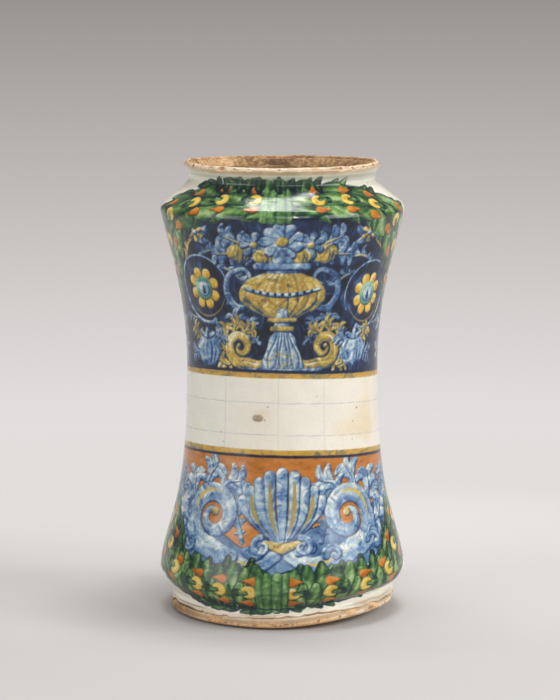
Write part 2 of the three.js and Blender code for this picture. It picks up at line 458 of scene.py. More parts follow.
brushed = stirred(cloud(3.2, 11, 11) * 0.45 + cloud(7, 3, 12) * 0.3 + cloud(1.2, 3.5, 13) * 0.35, 5, 63)
blue_ground = shade(navy, np.clip(1.35 * brushed - 0.26, 0, 1))
mix_in(paint, blue_ground, 0.985 * blue_field)
fired = cloud(6, 2.4, 14) * 0.5 + cloud(1.6, 0.8, 15) * 0.3 + cloud(14, 14, 16) * 0.3
mix_in(paint, shade(orange, np.clip(fired, 0, 1)), 0.97 * orange_field)
print("share of the coat that is blue ground:", round(float(blue_field.mean()), 2))

# %% [markdown]
# ## Leaves, scrolls, flowers and fruit
#
# Renaissance jar painters filled a panel from a stock of parts: leaves, coiling stems, rosettes, fruit.
# Each part is a short function made of brush touches, and every picture below is put together from them.
# The tones go from shadow to light, and `form` picks among them by which way the painted surface turns.

# %% Painted parts
pale = palette("0c1f40", "305080", "688aac", "a8bcc6", "e2e4dc")
steel = palette("091833", "223f68", "486a93", "8099ae", "c0cbcb")
gold = palette("142a4c", "56645f", "a3883c", "cdb058", "e4dbb4")
green = palette("10222a", "22402a", "3c6036", "668a4c", "a2b87e")
leaf_ink = colour("102838")
dice = np.random.default_rng(7)


def mirrored(points, side):
    """Points of a path written for the right-hand side, put on either side of the front."""
    return [(side * x, z) for x, z in points]


def on_chart(points):
    return np.array([at(x, z) for x, z in points])


def kept_inside(before, inside):
    """Takes back what a picture has painted outside its own panel."""
    paint[:] = before + (paint - before) * inside[..., None]


def leaf(base, tip, width, bend=0.15, tones=pale, rim=0.45, line_ink=ink):
    """A pointed leaf between two chart points, bent to one side by a share of its length."""
    base, tip = np.array(base, float), np.array(tip, float)
    way = tip - base
    side = np.array([-way[1], way[0]]) * bend
    spine = curved([base, base + way * 0.35 + side * 0.9, base + way * 0.7 + side * 0.8, tip], 14)
    shape = width * np.array([0.25, 0.7, 0.97, 1, 0.86, 0.55, 0.1])
    form(spine, shape, tones, line_ink, rim, streaks=5)


def acanthus(spine, size, tones=pale, sides=(1, -1), lobes=5):
    """A lobed leaf: curling lobes set along a spine, the furthest first, then the rib over them."""
    spine = curved(spine, 30)
    for place in np.linspace(0.88, 0.12, lobes):
        here = spine[int(place * 29)]
        way = spine[min(29, int(place * 29) + 2)] - spine[max(0, int(place * 29) - 2)]
        way /= np.linalg.norm(way) + 1e-9
        for side in sides:
            out = np.array([-way[1], way[0]]) * side
            long = size * (0.45 + 0.75 * math.sin(math.pi * min(1, 0.25 + 0.8 * (1 - place))))
            mid = here + long * (0.55 * way + 0.42 * out)
            end = here + long * (0.62 * way + 0.98 * out)
            form(curved([here, mid, end], 9), long * np.array([0.34, 0.7, 0.6, 0.34]), tones, ink, 0.4, 6)
    form(spine, size * np.array([0.5, 0.42, 0.32, 0.14]), tones, ink, 0.35, 3)


def coil(centre, radius, start, sweep, inward=0.0, steps=46):
    """Points on a circle or spiral round a chart point; angles in degrees, counter-clockwise."""
    angle = np.radians(np.linspace(start, start + sweep, steps))
    reach = radius * (1 - inward * np.linspace(0, 1, steps))
    return np.column_stack([centre[0] + reach * np.cos(angle), centre[1] + reach * np.sin(angle)])


def heading_to(degrees):
    """A step of length 1 on the chart, by its angle counter-clockwise from the right."""
    return np.array([math.cos(math.radians(degrees)), math.sin(math.radians(degrees))])


def dot(centre, size, tones, rim, streaks=7.0, roundness=0.42, line_ink=ink):
    """A round form of this diameter."""
    form([centre, centre + 0.01], [size, size], tones, line_ink, rim, streaks, roundness)


def plume(start, tip, side, bow, size, tones, lobes=5):
    """A lobed leaf from start to tip, both written for the right-hand side; the bow moves its middle."""
    base, end = on_chart(mirrored([start, tip], side))
    spine = [base, (base + end) / 2 + bow, end]
    acanthus(spine, size, tones, (1, -1), lobes)
    return spine


def rosette(centre, size):
    """A four-petalled rosette: two-lobed yellow petals round a sea-green ring and a pale eye."""
    petals = 4
    for turn in range(petals):
        for spread, reach, width in ((-24, 0.78, 0.54), (22, 0.76, 0.56)):
            way = heading_to(90 + turn * 360 / petals + spread)
            form([centre + way * size * 0.3, centre + way * size * reach],
                 size * np.array([width * 0.7, width]), rosette_tones, line_brown, 0.5, 4)
    dot(centre, size * 1.16, sea_green, 0.4, 2, line_ink=line_brown)
    dot(centre, size * 0.74, pale[1:], 0.9, 2, 0.15)
    form([centre - (0, size * 0.16), centre + (0, size * 0.12)], [size * 0.24, size * 0.06], navy, ink, 0.2)


rosette_tones = palette("7c561e", "bd8b2a", "d8aa3c", "e4c058", "efdb96")
sea_green = palette("1f5658", "3d8078", "6aa892", "9cc8ae")
line_brown = colour("2c2c30")


def fruit(centre, size, tones=pale, crowned=True):
    """A round fruit, ribbed by curved touches, with a small crown."""
    centre = np.array(centre, float)
    for side in (-1, 1, -0.45, 0.45, 0):
        top, low = centre + (side * size * 0.12, size * 0.46), centre + (side * size * 0.1, -size * 0.46)
        mid = centre + (side * size * 0.42, 0)
        rib = size * np.array([0.1, 0.42, 0.5, 0.42, 0.1])
        form(curved([low, mid, top], 9), rib, tones, soft_ink, 0.35, 5)
    if crowned:
        for tilt in (-35, 0, 35):
            tip = centre + 0.78 * size * heading_to(90 + tilt)
            leaf(centre + (0, size * 0.42), tip, size * 0.2, 0, tones)


def flower(centre, size, tones=pale, heart=gold, petals=8):
    """An open flower: petals laid round a small golden heart."""
    centre = np.array(centre, float)
    for turn in range(petals):
        way = heading_to(360 * (turn + 0.5) / petals)
        form([centre + way * size * 0.14, centre + way * size * 0.4], size * np.array([0.18, 0.31]),
             tones, ink, 0.4, 4)
    dot(centre, size * 0.3, heart, 0.4, 3)


def stippled(centre, reach, count, tint, size=0.7):
    """Small dots of colour strewn over an oval, as a painter warms a pale form."""
    for _ in range(count):
        angle, out = dice.uniform(0, 2 * math.pi), math.sqrt(dice.random())
        spot = np.array(centre) + out * np.array(reach) * (math.cos(angle), math.sin(angle))
        line([spot, spot + 0.1], size * dice.uniform(0.7, 1.3), tint, 0.75)


yellow = colour("d6b24a")
sea = palette("1a325c", "335580", "5479a0", "83a0b6", "c2ccca")
foam = palette("24457a", "4c6f9d", "7d9ab7", "b7c9cd", "ebeae2")


def scroll(places, centre, radius, side, thick, sweep=520, tones=pale, patch=yellow):
    """A thick stem that runs through the given places and winds up round a centre, lobed on the outside."""
    start, tightened = -90, 0.86
    centre = at(side * centre[0], centre[1])
    first = start if side > 0 else 180 - start
    winding = coil(centre, radius, first, side * sweep, tightened, 70)
    path = np.vstack([curved(on_chart(mirrored(places, side)), 22)[:-1], winding])
    for angle in range(-60, 101, 40):
        out = heading_to(angle) * (side, 1)
        ahead = side * np.array([-out[1], out[0]])
        base = centre + out * radius * (1 - tightened * (angle - start) / sweep)
        size = thick * (1.15 - 0.5 * (angle - start) / sweep)
        acanthus([base - out * size * 0.3, base + out * size * 0.6 + ahead * size * 0.3,
                  base + out * size * 0.95 + ahead * size * 1.1], size * 0.62, tones, (-side, side), 4)
    form(path, thick * np.array([0.6, 1.05, 1.1, 1, 0.85, 0.62, 0.4, 0.3]), tones, ink, 0.9, 6, roundness=0.3)
    for first_step, last_step in ((7, 22), (30, 47)):
        stretch = path[first_step:last_step] + (0, 0.12 * thick)
        line(stretch, thick * np.array([0.02, 0.2, 0.16, 0.02]), patch, 0.8)
    dot(path[-1], thick * 0.45, gold, 0.45, 2)


print("parts ready: leaf, acanthus, plume, coil, rosette, fruit, flower, scroll")

# %% [markdown]
# ## The blue panel
#
# Two coiling stems with a rosette in each, between them a footed vase of flowers on two gold scrolls, and
# fruit in the lower corners: pale forms on a ground of dark cobalt. The forms are painted from the back of
# the picture to the front, since each touch covers what lies under it, just as it does on the pot.

# %% Coiling stems and rosettes
before = paint.copy()
rosette_places = {-1: (-51.0, 190.6), 1: (58.0, 187.0)}
for side, (x, z) in rosette_places.items():
    centre = at(x, z)
    stem = [(side * 12, 148), (side * 30, 148), (x - side * 12, 158)]
    ring = coil(centre, 20, -112 if side > 0 else -68, side * 318, 0.07)
    path = np.vstack([on_chart(stem), ring])
    for turn, size in ((-58, 7), (62, 12), (102, 11), (142, 9)):
        out = heading_to(turn) * (side, 1)
        ahead = np.array([-out[1], out[0]]) * side
        base = centre + 20 * out
        spine = [base - ahead * 2, base + out * size * 0.45 + ahead * size * 0.5,
                 base + out * size * 0.6 + ahead * size * 1.3]
        acanthus(spine, size * 0.5, gold if turn == 62 else steel, (-side,), 4)
        line(curved(spine, 12)[2:10], [0.3, 1.1, 0.4], yellow, 0.6)
    form(curved(path, 90), [2.6, 2.4, 2.0, 1.7, 1.5, 1.2, 0.8], pale, soft_ink, 0.3, 3)
    rosette(centre, 12)
    line(coil(centre, 16, 200, 140), [0.3, 1.0, 0.3], gold[3], 0.7)
print("rosettes at", rosette_places)

# %% Vase of flowers
for side in (-1, 1):
    for tip, size in (((33, 222), 6), ((40, 211), 5.6)):
        spine = plume((4, 206), tip, side, (side * 2, 3), size, steel)
        line(curved(spine, 12)[3:11], [0.3, 1.2, 0.4], yellow, 0.65)
    fruit(at(side * 23.5, 212), 11, gold, False)
    flower(at(side * 15, 217), 14.5, steel, gold, 7)
    fruit(at(side * 9.5, 210.5), 9.5, gold, False)
flower(at(0, 219), 21, pale, gold, 9)
leaf(*on_chart([(0, 206), (0, 215)]), 5.5, 0, steel)
for side in (-1, 1):
    handle = [(15, 184), (27, 181), (33.5, 189), (31, 199), (22, 203), (18, 198), (23, 195)]
    path = curved(on_chart(mirrored(handle, side)), 34)
    form(path, [2.6, 4.2, 4.4, 3.8, 3.2, 2.4, 1.4], steel, ink, 0.45, 3)
form(on_chart([(0, 203), (0, 198)]), [17, 21], steel, ink, 0.5, 9)
form(on_chart([(-14, 205), (14, 205)]), [4.2, 4.2], pale, ink, 0.5, 2)
for x in (-22, 22, -17, 17, -11.6, 11.6, -5.9, 5.9, 0):
    path = on_chart([(x * 0.3, 176.5), (x * 0.98, 186), (x * 0.86, 193.5), (x * 0.45, 200)])
    form(curved(path, 12), [3, 7.2, 7.6, 6.8, 3], gold, soft_ink, 0.4, 4)
stippled(at(0, 188), (21, 9), 190, colour("b0702a"), 0.65)
belt = [(-21.5, 192), (-11, 189.6), (0, 188.8), (11, 189.6), (21.5, 192)]
form(curved(on_chart(belt), 20), [2, 3, 2], pale, ink, 0.5, 3)
for x in np.linspace(-17, 17, 9):
    form(on_chart([(x, 189.2 + 0.0066 * x * x), (x, 189.3 + 0.0066 * x * x)]), [1.8, 1.8], navy, ink, 0.2)
form(on_chart([(0, 178), (0, 170)]), [7, 11], pale, ink, 0.5, 6)
form(on_chart([(-7.5, 174.5), (7.5, 174.5)]), [3, 3], gold, ink, 0.5, 2)
print("vase of flowers painted")

# %% Foot of the vase and its scrolls
for side in (-1, 1):
    for tip, size in (((31, 177), 5.4), ((20, 174), 4.6)):
        plume((14, 161), tip, side, (side * 2, -1), size, steel, 4)
    stem = [(9, 151), (16, 148.6), (23, 149.6)]
    scroll(stem, (27, 158.5), 9, side, 6.4, sweep=500, tones=gold, patch=pale[4])
form(on_chart([(0, 149.5), (0, 160), (0, 169)]), [27, 18, 8], pale, ink, 0.5, 3, roundness=0.25)
for x, bow in ((-9, -1), (-5.2, 1), (-1.4, -1), (2.6, 1), (6.8, -1), (10, 1)):
    fold = curved(on_chart([(x, 146.5), (x * 0.9 + bow, 154), (x * 0.5, 163), (x * 0.3, 169)]), 16)
    line(fold, [0.8, 1.7, 1.0, 0.4], steel[1], 0.6)
    line(fold + (1.1, 0), [0.3, 0.8, 0.3], pale[4], 0.7)
stippled(at(0, 152), (12, 5), 90, yellow, 0.6)
form(on_chart([(-6, 169.6), (6, 169.6)]), [3.2, 3.2], gold, ink, 0.5, 2)
form(on_chart([(-25, 145.6), (25, 145.6)]), [3, 3], steel, ink, 0.5, 2)
print("foot of the vase painted")

# %% Fruit and sprigs in the corners
for side, x in ((-1, 53), (1, 50)):
    for tip, tones in (((x - 13, 165), steel), ((x + 13, 167), gold), ((x + 17, 152), steel)):
        plume((x, 153), tip, side, (0, 1.2), 4.4, tones)
    fruit(at(side * x, 155), 17)
for side in (-1, 1):
    bud = at(side * 50, 222.5)
    for tip_x, tip_z in ((41, 227), (58, 229), (41, 218), (60, 217)):
        leaf(bud, at(side * tip_x, tip_z), 5.4, 0.2 * side, steel)
    flower(bud, 11, gold, pale, 6)
    for x, z, reach in ((88, 205, 6), (84, 168, 6), (86, 152, 6)):
        base = at(side * x, z)
        for turn in (20, 80, 140, 200, 280):
            leaf(base, base + 1.5 * reach * heading_to(turn), 3.8, 0.18, steel)
        dot(base, 3.2, gold, 0.4)
for _ in range(46):
    x, z = dice.uniform(-92, 92), dice.uniform(146, 230)
    here = at(x, z)
    if abs(x) > 36:
        curl = coil(here, dice.uniform(1.2, 2.6), dice.uniform(0, 360), 200, 0.5, 12)
        line(curl, [0.3, 0.7, 0.3], steel[2], 0.35)
kept_inside(before, smooth(-4, 0, inside_wreath) * smooth(0, 1, z_map - upper_ring))
print("corners filled")

# %% [markdown]
# ## The orange panel
#
# Below the label the ground is orange, and large blue leaves roll across it like waves, with a scallop
# shell in the middle. Each wave is a `scroll`: a thick stem that coils up, with lobes along its outer side.

# %% Rolling leaves and a shell
before = paint.copy()
crest = 55 + 6 * np.sin(theta_map * 5.2 + 0.6) + 3 * np.sin(theta_map * 12.3 + 2)
crest += 14 * smooth(0.75, 1.1, np.abs(theta_map))
mass = smooth(-0.3, 0.3, crest - z_map) * panel
swell = np.clip(1.15 * (0.55 * brushed + 0.45 * cloud(8, 4, 17)), 0, 1)
mix_in(paint, shade(sea[:4], swell), 0.97 * mass)
mix_in(paint, ink, 0.8 * smooth(0.55, 0.15, np.abs(crest - z_map)) * panel)

for side, stretch in ((-1, 1.0), (1, 0.96)):
    for x, z, tip_x, tip_z, size in ((76, 58, 85, 84, 6.4), (22, 50, 26, 83, 5.6)):
        plume((x * stretch, z), (tip_x * stretch, tip_z), side, (side * 3, 0), size, sea, 6)
    scroll([(60, 40), (70, 37), (80, 42)], (83 * stretch, 60), 15, side, 9.5, tones=sea)
    scroll([(4, 43), (16, 37), (30, 40)], (42 * stretch, 63), 18, side, 11.5, sweep=560, tones=foam)
    for x, z, reach, turn in ((14, 47, 5.5, 200), (28, 43, 5, 180), (57, 47, 6.5, 160), (70, 45, 5, 200)):
        here = at(side * x, z)
        form(coil(here, reach, turn, -side * 340, 0.8, 26), [5.6, 4.4, 3, 1.4], sea, ink, 0.45, 5)
        line(coil(here, reach * 0.95, turn, -side * 180, 0.4, 18), [0.3, 0.7, 0.3], foam[4], 0.6)
for side in (-1, 1):
    for x in (21.5, 17.4, 12.6, 7, 0):
        path = on_chart(mirrored([(x * 0.16, 50), (x * 0.9, 65), (x * 1.08, 88 - 0.034 * x * x)], side))
        form(curved(path, 14), [2, 4.8, 6.4, 7.4], foam, ink, 0.9, 3, roundness=0.3)
        if x in (17.4, 7):
            line(curved(path, 14)[2:13], [0.6, 2.6, 3.0, 1.4], gold[2], 0.75)
form(on_chart([(-9, 50), (0, 47), (9, 50)]), [3.8, 6.4, 3.8], gold, ink, 0.5, 3)
for side in (-1, 1):
    form(coil(at(side * 11, 48), 5.4, 100, -side * 400, 0.75), [3.8, 2.6, 1.2], foam, ink, 0.45, 3)
for _ in range(90):
    x, z = dice.uniform(-80, 80), dice.uniform(36, 60)
    here = at(x, z)
    tint = foam[3] if dice.random() < 0.6 else sea[0]
    line(coil(here, dice.uniform(1.2, 3.4), dice.uniform(0, 180), 120, 0.4, 10), [0.2, 0.7, 0.2], tint, 0.4)
kept_inside(before, smooth(-4, 0, inside_wreath) * smooth(0, 1, lower_ring - z_map))
print("orange panel painted")

# %% [markdown]
# ## The rings and the blank label
#
# Two yellow rings, each with a dark line beside it, bound the pale label. On a working jar its contents
# were written there; this one is left blank, and keeps the painter's faint guide lines, a rusty stain and
# a blister where the glaze crawled in the kiln.

# %% Rings and label
yellow_line = colour("cf9f45")
ring_reach = smooth(-0.5, 2, inside_wreath)
for base_z, dark_side, dark_width in ((upper_ring_z, 1, 2.0), (lower_ring_z, -1, 1.6)):
    middle = ring_height(base_z, theta_map) + 0.3 * (cloud(22, 60, 21) - 0.5)
    off = z_map - middle
    worn = 0.82 + 0.25 * wash
    dark = smooth(0.4, -0.1, np.abs(off - dark_side * 2.1) - dark_width / 2) * ring_reach
    mix_in(paint, ink, 0.9 * dark * worn)
    bright = smooth(0.35, -0.15, np.abs(off) - 1.35 - 0.25 * (cloud(9, 40, 23) - 0.5)) * ring_reach
    mix_in(paint, shade([gold[1], yellow_line, gold[2]], wash), 0.97 * bright)

label = panel * smooth(-0.3, 0.3, upper_ring - 1.6 - z_map) * smooth(-0.3, 0.3, z_map - lower_ring - 1.6)
label_tone = shade(palette("dcd4c2", "e8e0d0", "eee7da"), np.clip(0.35 + 0.6 * cloud(34, 20, 24), 0, 1))
# Painted light: the left of the label is tinted lighter and a little greener, where the lamps leave it
# darker.
mix_in(label_tone, colour("e0e6d8"), 0.55 * smooth(-0.2, -1.0, theta_map))
mix_in(paint, label_tone, 0.95 * label)
rust = smooth(0.7, 1.0, cloud(26, 13, 22)) * label
mix_in(paint, colour("dcc08a"), 0.45 * rust)
for low_z in (109.5, 127.5):
    guide = smooth(0.3, 0.05, np.abs(z_map - ring_height(low_z - 4, theta_map)))
    mix_in(paint, pale[1], 0.3 * guide * label * (0.4 + 0.6 * wash))
for bearing in (-0.04, 0.44, -0.62):
    guide = smooth(0.35, 0.05, np.abs(theta_map - bearing) * chart_radius)
    mix_in(paint, pale[1], 0.22 * guide * label * (0.4 + 0.6 * wash))
rust_line = colour("7d6650")
blister = at(-15.8, 119)
form([blister - (1.6, 0), blister + (1.6, 0)], [2.6, 3.2], palette("a8977d", "cfc4ad"), rust_line, 0.5, 9)
for size, strength in ((3.4, 0.45), (2.2, 0.7), (1.1, 0.8)):
    line(coil(blister, size, 10, 350) * [1, 0.55] + blister * [0, 0.45], 0.4, rust_line, strength)
for x, z, size in ((-11.3, 118, 0.8), (53.5, 122.2, 1.1), (-39.5, 104.5, 0.5), (22, 131, 0.5)):
    line([at(x, z), at(x + 0.2, z)], size, rust_line, 0.8)
print("label, mm tall at the front:", round(upper_ring_z - lower_ring_z, 1))

# %% [markdown]
# ## The wreath
#
# A thick garland of leaves and fruit frames the panel. It could be drawn leaf by leaf, but a painter turns
# the pot and repeats one bunch: a few overlapping leaves, then an orange, a yellow and an orange fruit
# across the garland. So a route is laid out from the top binding to the bottom one, with stations at even
# steps. The leaves point away from the bindings, and `bunch` is called from the jar's side back toward each
# binding, so that the tips of one bunch cover the feet of the next. Upright leaves then fill the bottom in
# two rows, and `accents` lays the fruit over it all.

# %% Route of the wreath
bunch_step = 18.5
# Bearing from the front and height, on the wreath's inner edge and then on its outer edge.
wreath_edges = [(0, 233, 0, 250.2), (28, 232.4, 27, 250.2), (44, 231, 42, 248.8), (52, 225, 55, 246),
                (57.5, 220, 65, 242), (62.7, 213, 76, 236), (71.5, 189, 93, 207), (80, 172, 102, 182),
                (90, 150, 112, 155), (94, 120, 118, 120), (90, 92, 113, 85), (78, 68, 100, 55),
                (62, 51, 84, 34), (55, 38.7, 70, 23.4), (45, 35.5, 54, 16), (30, 34, 32, 12.4),
                (0, 33.4, 0, 11.2), (-8, 33.4, -8, 11.2)]


def wreath_route(side):
    """The wreath's middle in points 1 mm apart, with its direction and its half width at each."""
    inner, outer = (curved(on_chart([(side * math.radians(row[turn]) * chart_radius, row[turn + 1])
                                     for row in wreath_edges]), 500) for turn in (0, 2))
    arc = lengths_along((inner + outer) / 2)
    even = np.arange(0, arc[-1], 1.0)
    inner, outer = (np.column_stack([np.interp(even, arc, edge_line[:, axis]) for axis in (0, 1)])
                    for edge_line in (inner, outer))
    path = (inner + outer) / 2
    way = np.gradient(path, axis=0)
    return path, way / np.linalg.norm(way, axis=1)[:, None], np.linalg.norm(outer - inner, axis=1) / 2


def across_route(route, place, share):
    """The point at a distance along the route and a share of the half width to its outer side."""
    path, way, half = route
    index = int(np.clip(round(place), 0, len(path) - 1))
    return path[index] + share * half[index] * np.array([-way[index][1], way[index][0]])


for side in (-1, 1):
    path, way, half = wreath_route(side)
    base = touch(path[::4], 2 * half[::4] - 2.2)
    lay(base, shade([leaf_ink, green[0], green[0]], wash[base.window]), filled(base, 0.8) * 0.97)
print("route of the wreath, mm a side:", len(path))


# %% Bunches of leaves and fruit
def blade(path, widths, lift=0.0):
    """A broad leaf of the wreath: light along the middle, dark at its foot and edges, brushed lengthwise."""
    mark = touch(path, widths)
    if mark is None:
        return
    hair = np.sin(mark.across * 5.5 + mark.along * 7 + float(path[0][0]))
    value = 0.7 - 0.5 * mark.across**2 - 0.45 * smooth(0.3, 0, mark.along) + lift
    value = value + 0.12 * hair + 0.7 * (wash[mark.window] - 0.5)
    lay(mark, shade(green, np.clip(value, 0, 1)), filled(mark) * 0.97)
    lay(mark, leaf_ink, edge(mark, 0.62) * (0.45 + 0.55 * grain[mark.window]))


def bunch(route, place, heading, outer):
    """One bunch: pointed side leaves, then three rows of broad leaves that run on from the station."""
    for turn in (1, -1):
        for start, end, out in ((0.25, 0.85, 1.12), (0.6, 1.15, 1.18)):
            swing = dice.normal(0, 0.9, 2)
            base_place = place + heading * (start * bunch_step + swing[0])
            tip_place = place + heading * (end * bunch_step + swing[1])
            base = across_route(route, base_place, outer * turn * 0.6)
            tip = across_route(route, tip_place, outer * turn * (out + 0.04 * dice.normal()))
            spine = curved([base, (base + tip) / 2 + 0.12 * (tip - base)[::-1] * (1, -1) * turn, tip], 10)
            blade(spine, [3, 5.8, 5.4, 2.2], -0.16 + 0.1 * dice.normal())
    for off, stagger in ((0.62, 0.12), (-0.64, -0.1), (0.02, 0.0)):
        swing = dice.normal(0, 1.1, 3) + (stagger * bunch_step, 0, 0)
        index = int(np.clip(round(place + heading * bunch_step / 2), 0, len(route[2]) - 1))
        size = (0.84 if off > 0.1 or off < -0.1 else 0.74) * route[2][index] + 0.8 * dice.normal()
        points = [across_route(route, place + heading * (share * bunch_step + swing[0]), outer * (off + lean))
                  for share, lean in ((0.05, 0.05 * swing[1] - 0.3 * off), (0.5, 0.08 * swing[2]),
                                      (1.04, 0.13 * swing[1] + 0.3 * off))]
        widths = np.array([0.6, 0.95, 1.05, 1, 0.85, 0.6, 0.2]) * size
        blade(curved(points, 14), widths, 0.13 * dice.normal())


def accents(route, place, heading, outer):
    """The fruit at a station: a yellow crescent between two orange wedges, with a leaf bulging into it."""
    step = route[1][int(np.clip(round(place), 0, len(route[1]) - 1))] * heading
    for off in (0.62, -0.6):
        spot = across_route(route, place + heading * dice.normal(0, 0.8), outer * off)
        form([spot - step * 1.8, spot + step * 3.4], [5.6, 1.2], wedge_tones, leaf_ink, 0.55, 2)
    spot = across_route(route, place + heading * dice.normal(0, 0.8), outer * 0.04)
    turned = math.degrees(math.atan2(-step[1], -step[0])) + dice.normal(0, 14)
    blade([spot + step * 5.5, spot + step * 1.4], [5, 2.4], 0.05)
    cup = coil(spot + step * 0.4, 2.7, turned - 122, 244, 0, 24)
    form(cup, [2, 3.8, 4.6, 3.8, 2], cup_tones, leaf_ink, 0.5, 3)


dark_tips = [(-64, 43), (-51, 40), (-40.5, 39), (-29.5, 41), (-24, 37), (-16.5, 40.5),
             (8.5, 37.5), (19.5, 38.5), (31, 38), (43, 40), (52, 41), (63, 43.5)]
for x, z in dark_tips:
    blade(curved(chart([x - 0.8, x - 0.5, x + 0.8], [24, 31, z]), 12), [4, 6.2, 6.6, 3.4], -0.3)

# Across the bottom: the height of the wreath's lower edge, and each upright leaf's place and top.
wreath_sides, wreath_foot = (0, 35, 58, 76), (11.6, 12.8, 16.6, 24)
upright_leaves = [(-66, 40), (-56.5, 38.5), (-48, 39), (-41, 36.5), (-33.5, 35.5), (-25.5, 37.5),
                  (-18.5, 34.5), (-13.5, 36.5), (6, 34), (12.5, 36), (20.5, 37), (28.5, 35.5), (36, 36.5),
                  (44, 37), (52, 38), (61, 39), (69, 42)]


def upright_rows(side):
    """Two rows of upright leaves: the upper one from the side inwards, then the lower one over its feet."""
    mine = [leaf_place for leaf_place in upright_leaves if leaf_place[0] * side > 0]
    for x, z in sorted(mine, key=lambda leaf_place: -abs(leaf_place[0])):
        lean = 0.6 * math.sin(5 * x)
        path = curved(chart([x - lean, x + lean, x], [21, 29, z]), 12)
        blade(path, [7.5, 9.4, 8.6, 4.6], 0.1 * math.sin(7 * x))
    for x, z in mine:
        low = np.interp(abs(x + 4.5), wreath_sides, wreath_foot) + 1.2
        path = curved(chart([x + 4.5, x + 3.6, x + 4.2], [low, low + 6, low + 13]), 12)
        blade(path, [6.4, 8.8, 8.2, 4.4], 0.1 * math.cos(4 * x))


wedge_tones = palette("74401a", "a85c20", "c47a2c", "d08c42")
cup_tones = palette("98792b", "cda83c", "e2c15c", "ecd894")
for side, top_start, low_start, low_gaps in ((-1, 17.5, 28.5, [14, 15.5]), (1, 22, 16, [19.5, 21])):
    route = wreath_route(side)
    length = len(route[0])
    down = np.arange(top_start, length * 0.52, bunch_step)[::-1]
    gaps = np.concatenate([[low_start], low_gaps, np.full(12, bunch_step)])
    up = length - np.cumsum(gaps)
    up = up[up > length * 0.52][::-1]
    for place in down:
        bunch(route, place, 1, side)
    for place in up:
        bunch(route, place, -1, -side)
    bunch(route, top_start - bunch_step, 1, side)
    bunch(route, length - low_start + bunch_step, -1, -side)
    upright_rows(side)
    for place in down:
        accents(route, place, 1, side)
    for place in up:
        accents(route, place, -1, -side)
print("stations a side:", len(down) + len(up))

# %% Bindings and leaf tips
light_green = palette("21402a", "3d6438", "5f884c", "96b27e")
for middle, low, high in ((-3.2, 231.2, 250.4), (-5.5, 11.6, 32)):
    for x, wide in ((-6.2, 4.2), (6.4, 4.0), (-2.3, 4.8), (2.5, 5.0)):
        strip = on_chart([(middle + x, low), (middle + x * 1.04 + 0.4, high)])
        form(strip, [wide, wide * 0.95], light_green, leaf_ink, 0.85, 5, roundness=0.25)
for x in (-46, -39.5, -32, -26, -20.5, -13, -7, -2.5, 1.5, 11, 16.5, 23):
    tip = at(x + 1.2, 251.2 + 0.9 * math.sin(3 * x))
    leaf(at(x, 246.6), tip, 3.4, 0.12, green[:3], 0.8, leaf_ink)
neck_tips = [(-44, 252), (-38, 251), (-28, 252.4), (-22, 251.2), (-15, 252.6), (-2.5, 252.8), (6.5, 252),
             (23.5, 252.4)]
for x, z in neck_tips:
    blade(curved(chart([x + 1, x - 0.6, x + 0.4], [245.5, 249, z]), 10), [3.2, 4.8, 4.8, 2.4], -0.36)
outline_x = np.linspace(-72, 72, 40)
outline_z = np.interp(np.abs(outline_x), wreath_sides, wreath_foot) + 0.35 * np.sin(0.9 * outline_x)
line(chart(outline_x, outline_z), 1.1, leaf_ink, 0.8)
print("bindings painted")

# %% [markdown]
# ## The back
#
# The back of such a jar stood against the wall of a shelf. It is left white and gets a quick spray of blue
# foliage, drawn with one thin brush, inside the outer edge of the wreath.

# %% Blue spray on the back
back = around / 2
spray_tones = palette("3c5d98", "7694bf", "b5c5d6")
line(on_chart([(back, 40), (back + 2, 90), (back - 2, 150), (back, 214)]), [1.2, 0.9, 0.7], ink, 0.85)
for order, z in enumerate(range(50, 210, 17)):
    side = -1 if order % 2 else 1
    root = at(back, z)
    reach = 24 + 10 * abs(z - 125) / 90
    stalk = curved([root, root + (side * reach * 0.5, 4), root + (side * reach, 13),
                    root + (side * reach * 0.8, 20)])
    line(stalk, [0.9, 0.7, 0.4], soft_ink, 0.8)
    for place in (6, 10, 14, 18, 21):
        for turn in (-1, 1):
            way = stalk[min(21, place + 1)] - stalk[place - 1]
            way /= np.linalg.norm(way)
            out = np.array([-way[1], way[0]]) * turn
            tip = stalk[place] + 4.5 * way + 4.2 * out
            leaf(stalk[place], tip, 2.6, 0.2 * turn, spray_tones, 0.35, soft_ink)
flower(at(back, 218), 17, spray_tones, gold)
for z in (18, 246):
    line(chart(np.linspace(back - 66, back + 66, 50), np.full(50, z)), 0.9, soft_ink, 0.75)
print("spray painted")
